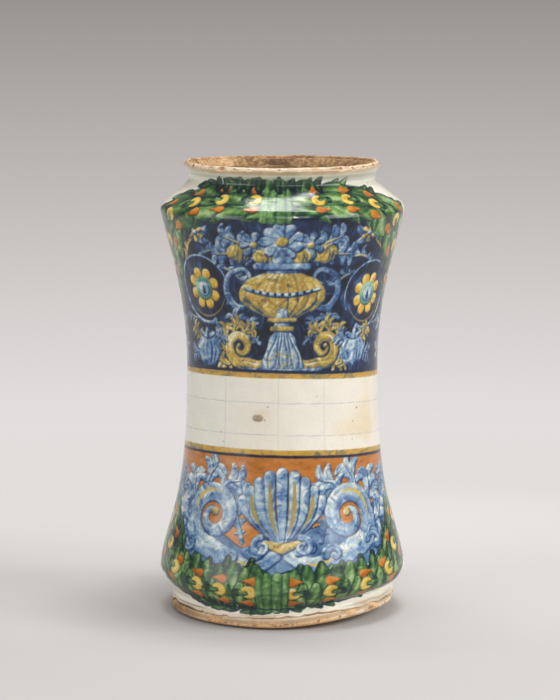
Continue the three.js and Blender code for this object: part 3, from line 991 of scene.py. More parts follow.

# %% [markdown]
# ## Firing faults and wear
#
# Gas leaves pinholes, dust leaves brown specks, and colour that sat too thick runs a little. Centuries of
# use then stain and wear the edges. These small faults are what tell the eye that it looks at a fired
# surface, so they are kept, thinly and unevenly spread. Painted shade is laid in here too: a line under
# the lip and a grey over the right of the neck.

# %% Specks, drips and stains
fault_dice = np.random.default_rng(31)
for count, tint, low, high in ((46, colour("6b5138"), 0.3, 0.75), (40, colour("2a2e3a"), 0.25, 0.55)):
    for _ in range(count):
        x = fault_dice.uniform(-around / 2, around / 2)
        y = fault_dice.uniform(2, face_arc[-1] - 2)
        size = fault_dice.uniform(low, high)
        line([(x, y), (x + size * 0.5, y + size * 0.2)], size, tint, fault_dice.uniform(0.3, 0.8))
drip = at(-17.2, 11.5)
line([drip, drip - (0.4, 4.4)], [2.2, 2.6, 1.6], green[0], 0.9)
foot_stain = np.clip(smooth(11, 5.5, z_map) * (0.25 + 1.1 * cloud(12, 3, 33)), 0, 1)
mix_in(paint, shade(palette("c09a78", "e0c4a6", "eeddca"), wash), 0.75 * foot_stain)
# Brown lines round the foot just above the ring, strongest on the left.
for low, high, level, strength in ((-98, -38, 8.2, 0.8), (26, 78, 7.6, 0.4), (-30, 12, 6.9, 0.25)):
    reach = smooth(low, low + 12, bearing_map) * smooth(high, high - 12, bearing_map)
    off = z_map - level - 1.2 * (cloud(16, 80, 35) - 0.5)
    brown_foot_line = smooth(0.75, 0.2, np.abs(off)) * reach * (0.3 + 0.7 * wash)
    mix_in(paint, colour("5a4230"), strength * brown_foot_line)
worn_left = smooth(-112, -92, bearing_map) * smooth(-38, -60, bearing_map)
edge_line = smooth(1.8 + 1.6 * worn_left, 0.4, arc_map)
edge_line *= np.clip(1.6 * cloud(6, 4, 36) - 0.1 + worn_left, 0, 1)
edge_brown = shade(palette("3a281a", "7d5a3c", "a8845c"), np.clip(wash - 0.5 * worn_left, 0, 1))
mix_in(paint, edge_brown, 0.85 * edge_line)
lip_band = smooth(253.8, 255.4, z_map)
mix_in(paint, shade(palette("b89474", "cfae8e", "dcc4aa"), mottle), 0.82 * lip_band)
# Painted shadow: a grey-brown line under the lip, where the neck turns in.
shadow_under_lip = smooth(1.4, 0.2, np.abs(z_map - 252.8))
mix_in(paint, colour("a99a86"), 0.45 * shadow_under_lip)
# Painted shade: a grey laid over the right side of the neck.
right_neck_shade = smooth(249.5, 251, z_map) * smooth(254.6, 253.6, z_map) * smooth(0.2, 0.8, theta_map)
mix_in(paint, colour("a8a59a"), 0.5 * right_neck_shade)
paint[:] = np.clip(paint * (0.98 + 0.04 * mottle[..., None]), 0, 1)
print("mean colour of the coat:", paint.mean((0, 1)).round(2))

# %% [markdown]
# ## From chart to clay
#
# The chart now wraps back onto the pot. A thrown jar is not a perfect turned solid: the foot was drawn up
# on one side when it was cut from the wheel, the rim has worn lower at the back, and throwing rings and
# slow dents run round the wall. `placed` applies the big shifts to every mesh, so that the clay and both
# coats stay together, and the small ones go into each surface as relief.

# %% Unevenness shared by all three layers
foot_slant, foot_slant_bearing = 5.5, math.radians(90 - 8)
foot_wear, back_wear = 1.1, 1.3


def foot_lift(bearing, radius, height):
    """How far the foot is drawn up: nothing on the flat middle of the base or above the belly."""
    facing = np.cos(bearing - foot_slant_bearing)
    outward = smooth(flat_base_radius, cove_radius, radius)
    slanted = foot_slant * smooth(-0.1, 1, facing) * (1 - smooth(foot_ring_top, belly_z, height))
    return outward * (slanted + foot_wear * smooth(4, 0, height) * smooth(0.6, -0.2, facing))


def placed(bearing, radius, height):
    """Points in metres in the frame, from bearings round the front, radii and heights in mm."""
    worn = back_wear * smooth(0.2, 1, -np.cos(bearing)) * smooth(249, rim_z, height)
    z = height + foot_lift(bearing, radius, height) - worn
    return np.stack([radius * np.sin(bearing), -radius * np.cos(bearing), z], -1) * mm


print("foot drawn up by, mm:", foot_slant, "and rim worn down by", back_wear)

# %% [markdown]
# Every layer is a closed skin: rings of vertices joined by quads, closed by a point on the axis or by
# joining the last ring to the first. Building it from arrays is much faster than adding faces one by one,
# and gives full control of the colours and of a flat map named OFBake.

# %% Skins from rings
def to_linear(tints):
    """Display colours as the light values that Blender's shaders count in."""
    return np.where(tints <= 0.04045, tints / 12.92, ((tints + 0.055) / 1.055) ** 2.4)


def skin(name, rings, tints, poles=None, map_rows=None):
    """A closed mesh object from rings of points; poles are the axis points, or None for a closed tube."""
    count, wide = rings.shape[:2]
    next_column = (np.arange(wide) + 1) % wide
    lower = np.arange(count if poles is None else count - 1)
    upper = (lower + 1) % count
    quads = np.stack([
        lower[:, None] * wide + np.arange(wide), lower[:, None] * wide + next_column,
        upper[:, None] * wide + next_column, upper[:, None] * wide + np.arange(wide)], -1).reshape(-1, 4)
    points, shades = rings.reshape(-1, 3), tints.reshape(-1, tints.shape[-1])
    loops, starts = quads.reshape(-1), np.arange(len(quads)) * 4
    v_rows = np.linspace(0, 1, len(lower) + 1) if map_rows is None else map_rows
    u = np.arange(wide + 1) / wide
    low_v, high_v = np.repeat(v_rows[:-1], wide), np.repeat(v_rows[1:], wide)
    left_u, right_u = np.tile(u[:-1], len(lower)), np.tile(u[1:], len(lower))
    flat = np.stack([left_u, low_v, right_u, low_v, right_u, high_v, left_u, high_v], -1).reshape(-1, 2)
    if poles is not None:
        first, last = len(points), len(points) + 1
        points = np.vstack([points, poles])
        shades = np.vstack([shades, shades[0], shades[-1]])
        near = np.stack([np.full(wide, first), next_column, np.arange(wide)], -1)
        far_ring = (count - 1) * wide
        far = np.stack([np.full(wide, last), far_ring + np.arange(wide), far_ring + next_column], -1)
        starts = np.concatenate([starts, len(loops) + np.arange(2 * wide) * 3])
        loops = np.concatenate([loops, near.reshape(-1), far.reshape(-1)])
        middle = (u[:-1] + u[1:]) / 2
        low_end, high_end = np.full(wide, v_rows[0]), np.full(wide, v_rows[-1])
        near_map = np.stack([middle, low_end, u[1:], low_end, u[:-1], low_end], -1).reshape(-1, 2)
        far_map = np.stack([middle, high_end, u[:-1], high_end, u[1:], high_end], -1).reshape(-1, 2)
        flat = np.vstack([flat, near_map, far_map])
    mesh = bpy.data.meshes.new(name)
    mesh.vertices.add(len(points))
    mesh.vertices.foreach_set("co", points.astype(np.float32).reshape(-1))
    mesh.loops.add(len(loops))
    mesh.loops.foreach_set("vertex_index", loops.astype(np.int32))
    mesh.polygons.add(len(starts))
    mesh.polygons.foreach_set("loop_start", starts.astype(np.int32))
    mesh.update(calc_edges=True)
    mesh.validate()
    mesh.shade_smooth()
    layer = mesh.uv_layers.new(name="OFBake")
    layer.data.foreach_set("uv", flat.astype(np.float32).reshape(-1))
    held = mesh.color_attributes.new(name="pigment", type="FLOAT_COLOR", domain="POINT")
    full = np.ones((len(points), 4), np.float32)
    full[:, :3] = to_linear(np.clip(shades[:, :3], 0, 1))
    if shades.shape[1] > 3:
        full[:, 3] = shades[:, 3]
    held.data.foreach_set("color", full.reshape(-1))
    piece = bpy.data.objects.new(name, mesh)
    bpy.context.scene.collection.objects.link(piece)
    print(name, "has", len(points), "vertices and", len(starts), "faces")
    return piece


# %% [markdown]
# ## The painted coat
#
# The glaze is a coat under 1 mm thick. Its outer side carries the painting; its inner side lies on the
# clay and needs fewer rows. At the foot and the lip the coat ends in a ragged edge: it crawled back
# from the unglazed foot in the kiln and chips have broken away since. Moving the last few rows up and down
# gives that edge, and rolling them over onto the clay gives it a thickness.

# %% Ragged edges of the glaze
# Each chip: its bearing from the solid's +X axis in degrees, and its width, depth and height in mm.
lip_chips = [(232, 7.5, 1.5, 3.4), (205, 4, 0.9, 2.4), (268, 3.2, 0.8, 2), (306, 4.4, 1.1, 2.6),
             (315, 3.4, 1, 2.4), (338, 3, 1.1, 2.6), (88, 9, 1.8, 4), (140, 4, 1, 2.4), (40, 5, 0.9, 2.2)]
foot_chips = [(196, 8, 1.3, 3.6), (240, 3.6, 0.9, 2.4), (272, 4, 1, 2.4), (322, 7, 1.4, 3.4),
              (20, 5, 1.1, 2.8), (115, 6, 1.2, 3)]
nick_dice = np.random.default_rng(12)


def nicks(count, widest, deepest):
    """Small chips strewn round an edge, most of them tiny."""
    return [(nick_dice.uniform(0, 360), 1 + (widest - 1) * nick_dice.random() ** 2,
             0.2 + (deepest - 0.2) * nick_dice.random() ** 2, 0.8 + 1.4 * nick_dice.random())
            for _ in range(count)]


def from_front(turn):
    """A bearing from the front for one given from the +X axis in degrees, between -pi and pi."""
    return (math.radians(turn + 90) + math.pi) % (2 * math.pi) - math.pi


def bites(chips, radius, bearings):
    """How far an edge draws back at each bearing because of the chips near it."""
    drawn = np.zeros(len(bearings))
    for turn, width, depth, height in chips:
        away = (bearings - from_front(turn) + math.pi) % (2 * math.pi) - math.pi
        share = np.clip(1 - (away * radius / (width / 2 + 0.4)) ** 2, 0, 1)
        drawn = np.maximum(drawn, (height / 2 + 0.3) * np.sqrt(share))
    return drawn


def edge_wander(width, height, seed, count):
    """A random line round the jar between -0.5 and 0.5."""
    return field(width, height, seed, (4, count), (8, around))[1] - 0.5


lip_nicks, foot_nicks = nicks(54, 3.4, 0.7), nicks(64, 4.2, 0.8)
lip_edge_radius = 56.0
edge_noise, slow_noise = edge_wander(3, 3, 41, columns), edge_wander(26, 3, 42, columns)
from_right = theta - math.pi / 2
waver = (np.sin(3 * from_right + 0.7) + np.sin(7 * from_right + 2.1) + np.sin(13 * from_right)) / 3
foot_edge = 0.12 * waver + 0.3 * edge_noise + 1.4 * np.maximum(slow_noise, 0)
foot_edge += 0.3 * bites(foot_nicks, ring_radius, theta)
foot_edge += 0.5 * bites(foot_chips, ring_radius, theta) + 1.5 * smooth(0.7, 0.2, theta)
lip_edge = 0.2 * waver + 0.4 * edge_noise
lip_edge += 0.5 * bites(lip_nicks, lip_edge_radius, theta)
lip_edge += 0.75 * bites(lip_chips, lip_edge_radius, theta)
print("glaze draws back at the foot by up to, mm:", round(float(foot_edge.max()), 1))

# %% Coat mesh
outside_arc = lengths_along(glaze_outside)
arc_start = np.interp(glazed[0, 1], glaze_outside[:, 1], outside_arc)


def on_face(arc, depth):
    """Radius and height at a length up the glazed face from its foot edge, sunk a depth toward the clay."""
    share = depth / coat
    return [(1 - share) * np.interp(arc + arc_start, outside_arc, glaze_outside[:, side])
            + share * np.interp(arc + arc_start, outside_arc, clay_outside[:, side]) for side in (0, 1)]


reach_up = arc_map + foot_edge * (1 - smooth(0, 6, arc_map))
reach_up -= lip_edge * smooth(face_arc[-1] - 4, face_arc[-1], arc_map)
edge_gap = np.minimum(arc_map, face_arc[-1] - arc_map)
rolled = 0.62 * (1 - np.sqrt(1 - np.clip(1 - edge_gap / 0.9, 0, 1) ** 2))
throwing = 0.5 + 0.5 * np.sin(2 * math.pi * (z_map + 1.1 * theta_map) / 6.7 + 2.2 * cloud(60, 26, 43))
dents = cloud(48, 34, 44)
ripple = cloud(7, 5, 45) * 0.6 + cloud(3, 2.6, 46) * 0.4
relief = 0.05 * throwing + 0.14 * dents + 0.045 * ripple - 0.03 * smooth(0.3, 0.8, wash)
radius_map, height_map = on_face(reach_up, rolled + relief + 0.03)
outer_rings = placed(theta_map, radius_map, height_map)

corner_low, corner_high = (np.interp(z, face[:, 1], face_arc) for z in (32, 222))
share = np.concatenate([np.linspace(face_arc[-1], corner_high, 50),
                        np.linspace(corner_high, corner_low, 60)[1:],
                        np.linspace(corner_low, 0, 50)[1:]])[:, None] / face_arc[-1]
hidden_rows = len(share)
low_arc, high_arc = foot_edge[None, :], (face_arc[-1] - lip_edge)[None, :]
hidden_arc = low_arc + (high_arc - low_arc) * (0.003 + 0.994 * share)
hidden_theta = np.repeat(theta[None, :], hidden_rows, 0)
hidden_rings = placed(hidden_theta, *on_face(hidden_arc, coat - 0.02))
coat_rings = np.concatenate([outer_rings, hidden_rings])
coat_tints = np.concatenate([paint, np.repeat(paint[-1:], hidden_rows, 0) * 0.9])
coat_map = np.concatenate([np.linspace(0.002, 0.965, rows), np.linspace(0.97, 0.998, hidden_rows + 1)])
painted_glaze = skin("painted_glaze", coat_rings, coat_tints, None, coat_map)

# %% [markdown]
# ## The clay
#
# Bare buff clay shows at the foot and along the lip, so only those stretches get fine rows; behind the
# glaze the rows lie 4 mm apart. A chip is cut by pushing every vertex that lies inside a rough ball out to
# the ball's surface, which leaves the shell-shaped scar of broken pottery.

# %% Clay rings
inside_floor = clay_inside[np.argmin(clay_inside[:, 1]):]
clay_wall = clay_inside[:np.argmin(clay_inside[:, 1]) + 1]
stretches = [(clay_base, 1.4), (between(clay_outside, 0, 9), 0.34), (between(clay_outside, 9, 32), 0.8),
             (between(clay_outside, 32, 222), 4), (between(clay_outside, 222, 252), 0.8),
             (between(clay_outside, 252, rim_z), 0.34), (clay_lip, 0.3),
             (between(clay_wall, 247, rim_z), 0.4), (between(clay_wall, 222, 247), 0.9),
             (between(clay_wall, 34, 222), 4), (between(clay_wall, 0, 34), 1), (inside_floor, 3)]
clay_line = np.vstack([spaced(stretch, step) for stretch, step in stretches if len(stretch) > 1])
clay_line = clay_line[np.concatenate([[True], np.linalg.norm(np.diff(clay_line, axis=0), axis=1) > 0.05])]
clay_line = clay_line[clay_line[:, 0] > 1]
clay_shape = (len(clay_line), columns)
clay_theta = np.repeat(theta[None, :], clay_shape[0], 0)


def clay_cloud(width, height, seed):
    """A random field over the clay, as if its rows lay 0.34 mm apart everywhere."""
    return field(width, height, seed, clay_shape, (0.34 * clay_shape[0], around))


rough = clay_cloud(2.2, 2.2, 51) * 0.6 + clay_cloud(0.9, 0.9, 52) * 0.4
coarse = clay_cloud(9, 9, 53)
clay_r = np.repeat(clay_line[:, :1], columns, 1)
clay_z = np.repeat(clay_line[:, 1:], columns, 1)
bare = np.maximum(smooth(9, 6, clay_z), smooth(250, 254, clay_z)) * smooth(0.4, 2, clay_z)
clay_r = clay_r - bare * (0.28 * rough + 0.12 * coarse)
clay_z = clay_z - smooth(256, rim_z, clay_z) * (0.35 * rough + 0.4 * coarse)


def chipped(r, z, chips, edge_r, edge_z):
    """Cuts chips out of rings of points, and says how deep in a scar each point lies."""
    scar = np.zeros_like(r)
    for turn, width, depth, height in chips:
        away = (clay_theta - from_front(turn) + math.pi) % (2 * math.pi) - math.pi
        out = (r - edge_r - depth) / (2 * depth)
        side = away * edge_r / (width / 2)
        rise = (z - edge_z) / (height / 2)
        far = np.sqrt(out**2 + side**2 + rise**2) + 1e-9
        push = np.where(far < 1, 1 / far * (1 - 0.1 * rough), 1)
        scar = np.maximum(scar, smooth(1.08, 0.9, far))
        r = edge_r + depth + out * push * 2 * depth
        z = edge_z + rise * push * height / 2
    return r, z, scar


clay_r, clay_z, lip_scar = chipped(clay_r, clay_z, lip_chips + lip_nicks, lip_side[0], rim_z - 1.15)
clay_r, clay_z, foot_scar = chipped(clay_r, clay_z, foot_chips + foot_nicks, ring_side[0], foot_rounding)
scar = np.maximum(lip_scar, foot_scar)
clay_z = np.clip(clay_z, 0, rim_z)
print("clay rings:", clay_shape[0])

# %% Colours of bare clay
buff, sand, rust_clay, umber = colour("dcb48a"), colour("ecd0ae"), colour("bb9068"), colour("644832")
clay_tint = shade([rust_clay, buff, sand, sand], np.clip(0.25 + 0.6 * rough + 0.35 * (coarse - 0.5), 0, 1))
dirt = smooth(0.62, 0.9, clay_cloud(3.4, 2.4, 54)) * bare
mix_in(clay_tint, umber, 0.4 * dirt)
mix_in(clay_tint, shade([umber, rust_clay, buff], rough), 0.85 * scar)
pits = smooth(0.8, 0.93, clay_cloud(1.1, 0.9, 55)) * bare
mix_in(clay_tint, umber, 0.85 * pits)
foot_clay = smooth(9, 7, clay_z)
# Painted light: the foot ring is made a brighter orange, most of all on its right side.
foot_tint_and_painted_light = foot_clay * (0.6 + 0.3 * smooth(0, 0.6, clay_theta)) * (1 - 0.6 * dirt) * (1 - scar)
mix_in(clay_tint, shade(palette("e2ae74", "f8cc94", "ffdeb0"), 0.5 * rough + 0.5 * coarse), foot_tint_and_painted_light)
low_enough = smooth(2.1, 1.7, clay_theta) * smooth(8.5, 7.5, clay_z)
glazed_over = smooth(2.6, 3.8, clay_z + 2.4 * (coarse - 0.5)) * smooth(-1.0, -0.4, clay_theta)
creamy = np.maximum(smooth(0.3, 0.75, clay_theta), 0.85 * glazed_over) * low_enough
creamy *= smooth(0.2, 0.34, 0.5 * rough + 0.5 * coarse)
mix_in(clay_tint, shade(palette("d0b292", "eadbc4", "efe4d2"), coarse), 0.85 * creamy * (1 - scar))
edge_stain = smooth(2.2, 3.6, clay_z) * smooth(5.6, 4.6, clay_z) * smooth(0.3, 0.6, coarse + 0.4 * rough)
mix_in(clay_tint, colour("7d5a3c"), 0.35 * edge_stain)
# Painted light: the right side of the foot ring a tenth brighter.
clay_tint *= 1 + (0.1 * foot_clay * smooth(0, 0.7, clay_theta) * (1 - scar))[..., None]
# Painted shade: the foot ring darker towards its rounded underside, and darker on its left side, where dirt
# adds to it.
grime_and_painted_shade = smooth(2.4, 0.3, clay_z) * (0.4 + 0.6 * rough)
left_side = smooth(-2, -1.5, clay_theta) * smooth(-0.7, -1.15, clay_theta)
grime_and_painted_shade += 0.9 * foot_clay * left_side * (0.5 + coarse - 0.5 * rough)
mix_in(clay_tint, colour("5a4430"), 0.4 * np.clip(grime_and_painted_shade, 0, 1.6))
kept_glaze = smooth(252.5, 254, clay_z) * smooth(rim_z - 0.1, rim_z - 0.7, clay_z) * (1 - scar)
kept_glaze *= smooth(0.72, 0.5, clay_cloud(5, 3, 56)) * (clay_r > crown[0] + 0.1)
mix_in(clay_tint, colour("ece2cf"), 0.9 * kept_glaze)
inside_stain = smooth(crown[0], mouth[0] + 0.6, clay_r) * smooth(240, 256, clay_z)
speck = clay_cloud(1.3, 0.8, 57)
crusted = 0.5 + 0.45 * (rough - 0.5) + 0.4 * (coarse - 0.5) + 0.45 * (speck - 0.5)
clay_x = clay_r * np.sin(clay_theta) * (np.cos(clay_theta) < 0)
crusted += 0.3 * np.exp(-((clay_x + 33) / 6)**2)
crusted -= 0.7 * np.exp(-((clay_x + 2) / 9)**2) * smooth(rim_z, 254, clay_z)
stained = shade(palette("5a402c", "836546", "b08c64", "c7a278", "dcbc92"), np.clip(crusted, 0, 1))
mix_in(clay_tint, stained, 0.92 * inside_stain)
clay_all = np.concatenate([clay_tint, kept_glaze[..., None]], -1)
clay_points = placed(clay_theta, clay_r, clay_z)
earthenware_body = skin("earthenware_body", clay_points, clay_all,
                        np.array([[0, 0, clay_z[0].mean() * mm], [0, 0, floor_z * mm]]))

# %% [markdown]
# ## The lining
#
# Inside is a thin lead glaze, brown over the clay, crusted by what the jar once held. It is a closed skin
# as well: up the hidden side from the floor, over a ragged edge under the mouth, and back down.

# %% Lining rings
inner_line = spaced(clay_inside[::-1], 0.1)
inner_line = inner_line[inner_line[:, 1] < rim_z - 6.8]
lining_columns = columns // 2
lining_theta = theta[::2]
seat_depth, face_depth, lining_pitch = 0.05, 0.66, 1.2
seat_line = spaced(moved_out(inner_line, -seat_depth), lining_pitch)
face_line = spaced(moved_out(inner_line, -face_depth), lining_pitch)[::-1]
lining_line = joined(seat_line[seat_line[:, 0] > 1], face_line[face_line[:, 0] > 1])
lining_shape = (len(lining_line), lining_columns)


def lining_cloud(width, height, seed):
    return field(width, height, seed, lining_shape, (lining_pitch * lining_shape[0], around))


crust = lining_cloud(6, 5, 61) * 0.5 + lining_cloud(2.5, 2.5, 62) * 0.5
stain = lining_cloud(22, 16, 63)
lining_r = np.repeat(lining_line[:, :1], lining_columns, 1)
lining_z = np.repeat(lining_line[:, 1:], lining_columns, 1)
visible = (np.arange(lining_shape[0]) >= len(seat_line[seat_line[:, 0] > 1])).astype(float)[:, None]
lining_r = lining_r + 0.22 * visible * crust * smooth(20, 60, lining_r)
ragged = edge_wander(4, 4, 64, lining_columns)
lining_z = lining_z + 2.2 * ragged * smooth(246, 252, lining_z)
brown = palette("46321f", "6e5236", "8c6c48", "a98a62")
lining_tint = shade(brown, np.clip(0.15 + 0.75 * crust + 0.5 * (stain - 0.5), 0, 1))
moss = smooth(0.6, 0.85, lining_cloud(12, 7, 65))
mix_in(lining_tint, colour("7f7440"), 0.45 * moss)
chalk = smooth(0.8, 0.92, lining_cloud(2.2, 1.6, 66))
mix_in(lining_tint, colour("d9c7a6"), 0.5 * chalk)
lining_points = placed(np.repeat(lining_theta[None, :], lining_shape[0], 0), lining_r, lining_z)
lead_glaze_lining = skin("lead_glaze_lining", lining_points, lining_tint,
                         np.array([[0, 0, (floor_z + seat_depth) * mm], [0, 0, (floor_z + face_depth) * mm]]))

# %% [markdown]
# ## Finishes
#
# The colours are on the meshes, so each material reads them and adds what is too fine for a vertex: the
# orange-peel ripple and hair cracks of the glaze, the open grain of fired clay, the dull crust inside.
# Bump and roughness come from noise nodes; values that are the same all over sit on the shader itself.

# %% Node helpers
def material(name, roughness):
    """An empty material with a shader, and the colour that the mesh carries."""
    made = bpy.data.materials.new(name)
    made.use_nodes = True
    tree = made.node_tree
    shader = tree.nodes["Principled BSDF"]
    shader.inputs["Roughness"].default_value = roughness
    pigment = tree.nodes.new("ShaderNodeAttribute")
    pigment.attribute_name = "pigment"
    places = tree.nodes.new("ShaderNodeTexCoord")
    return made, tree, shader, pigment, places


def noise(tree, places, scale, detail=3.0):
    """A noise value over the piece, with blobs of about 1 / scale metres."""
    made = tree.nodes.new("ShaderNodeTexNoise")
    made.inputs["Scale"].default_value = scale
    made.inputs["Detail"].default_value = detail
    tree.links.new(places.outputs["Object"], made.inputs["Vector"])
    return made.outputs["Fac"]


def ranged(tree, value, low, high, to_low, to_high):
    """The value's span from low to high, stretched to another span."""
    made = tree.nodes.new("ShaderNodeMapRange")
    for socket, number in (("From Min", low), ("From Max", high), ("To Min", to_low), ("To Max", to_high)):
        made.inputs[socket].default_value = number
    tree.links.new(value, made.inputs["Value"])
    return made.outputs["Result"]


def tinted(tree, base, value, tint):
    """The base colour multiplied by a tint where the value is high."""
    made = tree.nodes.new("ShaderNodeMix")
    made.data_type = "RGBA"
    made.blend_type = "MULTIPLY"
    tree.links.new(value, made.inputs["Factor"])
    tree.links.new(base, made.inputs["A"])
    made.inputs["B"].default_value = (*tint, 1)
    return made.outputs["Result"]


def bumped(tree, shader, height, distance, strength=1.0, after=None):
    """A bump of this depth in metres, on top of an earlier one if there is one."""
    made = tree.nodes.new("ShaderNodeBump")
    made.inputs["Distance"].default_value = distance
    made.inputs["Strength"].default_value = strength
    tree.links.new(height, made.inputs["Height"])
    if after is not None:
        tree.links.new(after, made.inputs["Normal"])
    tree.links.new(made.outputs["Normal"], shader.inputs["Normal"])
    return made.outputs["Normal"]


# %% Painted tin glaze
made, tree, shader, pigment, places = material("painted_tin_glaze", 0.14)
shader.inputs["IOR"].default_value = 1.52
speckle = ranged(tree, noise(tree, places, 900), 0.42, 0.75, 0, 0.35)
toned = tinted(tree, pigment.outputs["Color"], speckle, (0.86, 0.85, 0.82))
cracks = tree.nodes.new("ShaderNodeTexVoronoi")
cracks.feature = "DISTANCE_TO_EDGE"
cracks.inputs["Scale"].default_value = 95
tree.links.new(places.outputs["Object"], cracks.inputs["Vector"])
hair = ranged(tree, cracks.outputs["Distance"], 0.0, 0.014, 0.07, 0)
toned = tinted(tree, toned, hair, (0.45, 0.38, 0.3))
tree.links.new(toned, shader.inputs["Base Color"])
gloss = ranged(tree, noise(tree, places, 60, 4), 0.3, 0.75, 0.09, 0.24)
tree.links.new(gloss, shader.inputs["Roughness"])
first = bumped(tree, shader, noise(tree, places, 260, 2), 0.00012, 0.5)
bumped(tree, shader, noise(tree, places, 1300, 2), 0.00003, 0.5, first)
painted_glaze.data.materials.append(made)

# %% Bare clay
made, tree, shader, pigment, places = material("bare_buff_clay", 0.85)
grit = noise(tree, places, 1400, 4)
open_grain = ranged(tree, grit, 0.35, 0.7, 0.6, 0)
toned = tinted(tree, pigment.outputs["Color"], open_grain, (0.78, 0.7, 0.6))
tree.links.new(toned, shader.inputs["Base Color"])
tree.links.new(ranged(tree, pigment.outputs["Alpha"], 0, 1, 0.88, 0.25), shader.inputs["Roughness"])
first = bumped(tree, shader, grit, 0.0004, 0.8)
bumped(tree, shader, noise(tree, places, 350, 3), 0.0006, 0.5, first)
earthenware_body.data.materials.append(made)

# %% Lead glaze inside
made, tree, shader, pigment, places = material("brown_lead_glaze", 0.4)
film = noise(tree, places, 220, 5)
dull = ranged(tree, film, 0.4, 0.7, 0, 0.7)
toned = tinted(tree, pigment.outputs["Color"], dull, (0.7, 0.62, 0.5))
tree.links.new(toned, shader.inputs["Base Color"])
tree.links.new(ranged(tree, film, 0.3, 0.7, 0.3, 0.75), shader.inputs["Roughness"])
bumped(tree, shader, film, 0.0006, 0.7)
lead_glaze_lining.data.materials.append(made)

# %% Pieces on the frame
for piece, node, slot in ((painted_glaze, "outer_glaze", "painted_tin_glaze"),
                          (earthenware_body, "clay_body", "biscuit_clay"),
                          (lead_glaze_lining, "inner_glaze", "lead_glaze_lining")):
    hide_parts(node)
    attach(piece, "root")
print("three layers ride on the root body")

# %% [markdown]
# ## The studio
#
# The jar stands on a wide pale floor that fades to grey far away, so there is no wall to get in the way of
# a view from behind. The far floor and the air show one background to the camera, in mirrors and through
# glass. Soft lamps light the jar. The narrow one overhead is mirrored as the white patch on the shoulder,
# and a softer one beside it is spared from the glaze. Two at the right throw the faint shadow to the left,
# a dim panel at the left lays the grey veil on the dark blue, and a weak one fills the front.

# %% Floor
def counted(tree, operation, first, second):
    """A Math node on two values, each a socket or a plain number."""
    made = tree.nodes.new("ShaderNodeMath")
    made.operation = operation
    for socket, value in zip(made.inputs, (first, second)):
        if isinstance(value, float):
            socket.default_value = value
        else:
            tree.links.new(value, socket)
    return made.outputs["Value"]


def background_rays(tree):
    """1 for the rays that show the background: those of the camera, of mirrors and through glass."""
    path = tree.nodes.new("ShaderNodeLightPath")
    total = path.outputs["Is Camera Ray"]
    for kind in ("Is Glossy Ray", "Is Transmission Ray"):
        total = counted(tree, "MAXIMUM", total, path.outputs[kind])
    return total


floor_size, near = 40.0, 0.4
floor_mesh = bpy.data.meshes.new("studio_floor")
corners = [(x * floor_size / 2, y * floor_size / 2, 0) for x, y in ((-1, -1), (1, -1), (1, 1), (-1, 1))]
floor_mesh.from_pydata(corners, [], [(0, 1, 2, 3)])
studio_floor = bpy.data.objects.new("studio_floor", floor_mesh)
bpy.context.scene.collection.objects.link(studio_floor)
made = bpy.data.materials.new("studio_paper")
made.use_nodes = True
tree = made.node_tree
shader = tree.nodes["Principled BSDF"]
shader.inputs["Roughness"].default_value = 0.9
shader.inputs["Specular IOR Level"].default_value = 0.1
position = tree.nodes.new("ShaderNodeNewGeometry")
parts = tree.nodes.new("ShaderNodeSeparateXYZ")
tree.links.new(position.outputs["Position"], parts.inputs["Vector"])
# Painted light on the near floor: the paper is darker in front of the jar and lighter behind it.
paper_painted_light = tree.nodes.new("ShaderNodeValToRGB")
paper_painted_light.color_ramp.elements[0].color = (0.56, 0.54, 0.53, 1)
paper_painted_light.color_ramp.elements[1].color = (0.74, 0.71, 0.7, 1)
tree.links.new(ranged(tree, parts.outputs["Y"], -0.1, 0.3, 0, 1), paper_painted_light.inputs["Fac"])
tree.links.new(paper_painted_light.outputs["Color"], shader.inputs["Base Color"])

# Far from the jar the paper gives way to a grey that glows by itself for the camera, in mirrors and through
# glass, and darkens with the logarithm of the distance: painted light in place of the lamps' fall-off.
distance = tree.nodes.new("ShaderNodeVectorMath")
distance.operation = "LENGTH"
tree.links.new(position.outputs["Position"], distance.inputs[0])
times_near = counted(tree, "MULTIPLY", distance.outputs["Value"], 1 / near)
fade = tree.nodes.new("ShaderNodeValToRGB")
tree.links.new(counted(tree, "LOGARITHM", times_near, floor_size / near), fade.inputs["Fac"])
stops = [(0.0, "e0dddb"), (0.1, "e3dfde"), (0.16, "dfdbda"), (0.217, "dad5d5"), (0.27, "d4cfcd"),
         (0.32, "cdc8c5"), (0.425, "beb9b6"), (0.54, "afaaa7"), (0.615, "a6a19e"), (0.75, "999491"),
         (1.0, "8c8784")]
while len(fade.color_ramp.elements) < len(stops):
    fade.color_ramp.elements.new(0.5)
for element, (place, text) in zip(fade.color_ramp.elements, stops):
    element.position = place
    element.color = (*to_linear(colour(text)), 1)
far_light = tree.nodes.new("ShaderNodeEmission")
tree.links.new(fade.outputs["Color"], far_light.inputs["Color"])
far_off = ranged(tree, distance.outputs["Value"], 0.2, 0.48, 0, 1)
far_off.node.interpolation_type = "SMOOTHSTEP"
blend = tree.nodes.new("ShaderNodeMixShader")
tree.links.new(counted(tree, "MULTIPLY", far_off, background_rays(tree)), blend.inputs["Fac"])
tree.links.new(shader.outputs["BSDF"], blend.inputs[1])
tree.links.new(far_light.outputs["Emission"], blend.inputs[2])
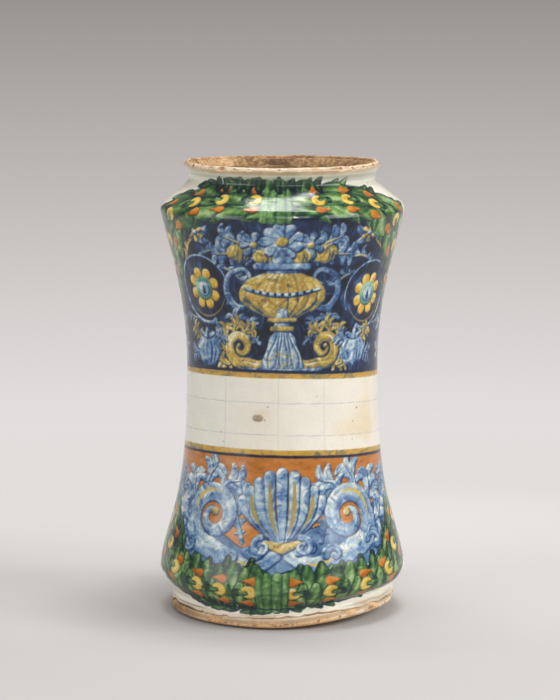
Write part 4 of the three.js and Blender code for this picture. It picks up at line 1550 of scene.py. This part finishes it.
tree.links.new(blend.outputs["Shader"], tree.nodes["Material Output"].inputs["Surface"])
floor_mesh.materials.append(made)
print("floor, m across:", floor_size)

# %% Lamps and world
from mathutils import Vector


def softbox(name, place, target, size, power, mirrored_in_glaze=True):
    """A rectangular lamp that faces a point; the glaze may be spared its reflection."""
    data = bpy.data.lights.new(name, "AREA")
    data.shape = "RECTANGLE"
    data.size, data.size_y = size
    data.energy = power
    lamp = bpy.data.objects.new(name, data)
    lamp.location = place
    lamp.visible_glossy = mirrored_in_glaze
    lamp.rotation_euler = (Vector(target) - Vector(place)).to_track_quat("-Z", "Y").to_euler()
    bpy.context.scene.collection.objects.link(lamp)
    print(name, "radiance:", round(power / (math.pi * size[0] * size[1]), 2))


softbox("overhead", (0.05, 0.17, 1.7), (0.02, 0.1, 0.2), (0.95, 0.2), 7.8)
softbox("overhead_soft", (0.1, -0.05, 1.72), (0.02, 0, 0.2), (0.95, 0.44), 9.2, False)
softbox("right_side", (1.5, -0.8, 0.9), (0, 0, 0.12), (1.1, 1.1), 15)
softbox("right_edge", (1.5, -0.22, 0.8), (0, 0, 0.12), (0.4, 0.4), 5.5, False)
softbox("left_panel", (-1.4, -0.9, 0.6), (0, 0, 0.14), (1.2, 1.1), 9.5)
softbox("front_fill", (0.5, -2.6, 1.5), (0, 0, 0.12), (1.6, 1.2), 18)
world = bpy.data.worlds.new("studio_air")
bpy.context.scene.world = world
world.use_nodes = True
tree = world.node_tree
tree.nodes["Background"].inputs["Color"].default_value = (0.5, 0.5, 0.5, 1)
tree.nodes["Background"].inputs["Strength"].default_value = 0.45
far_air = tree.nodes.new("ShaderNodeBackground")
far_air.inputs["Color"].default_value = (*to_linear(colour("8c8784")), 1)
either_air = tree.nodes.new("ShaderNodeMixShader")
tree.links.new(background_rays(tree), either_air.inputs["Fac"])
tree.links.new(tree.nodes["Background"].outputs["Background"], either_air.inputs[1])
tree.links.new(far_air.outputs["Background"], either_air.inputs[2])
tree.links.new(either_air.outputs["Shader"], tree.nodes["World Output"].inputs["Surface"])
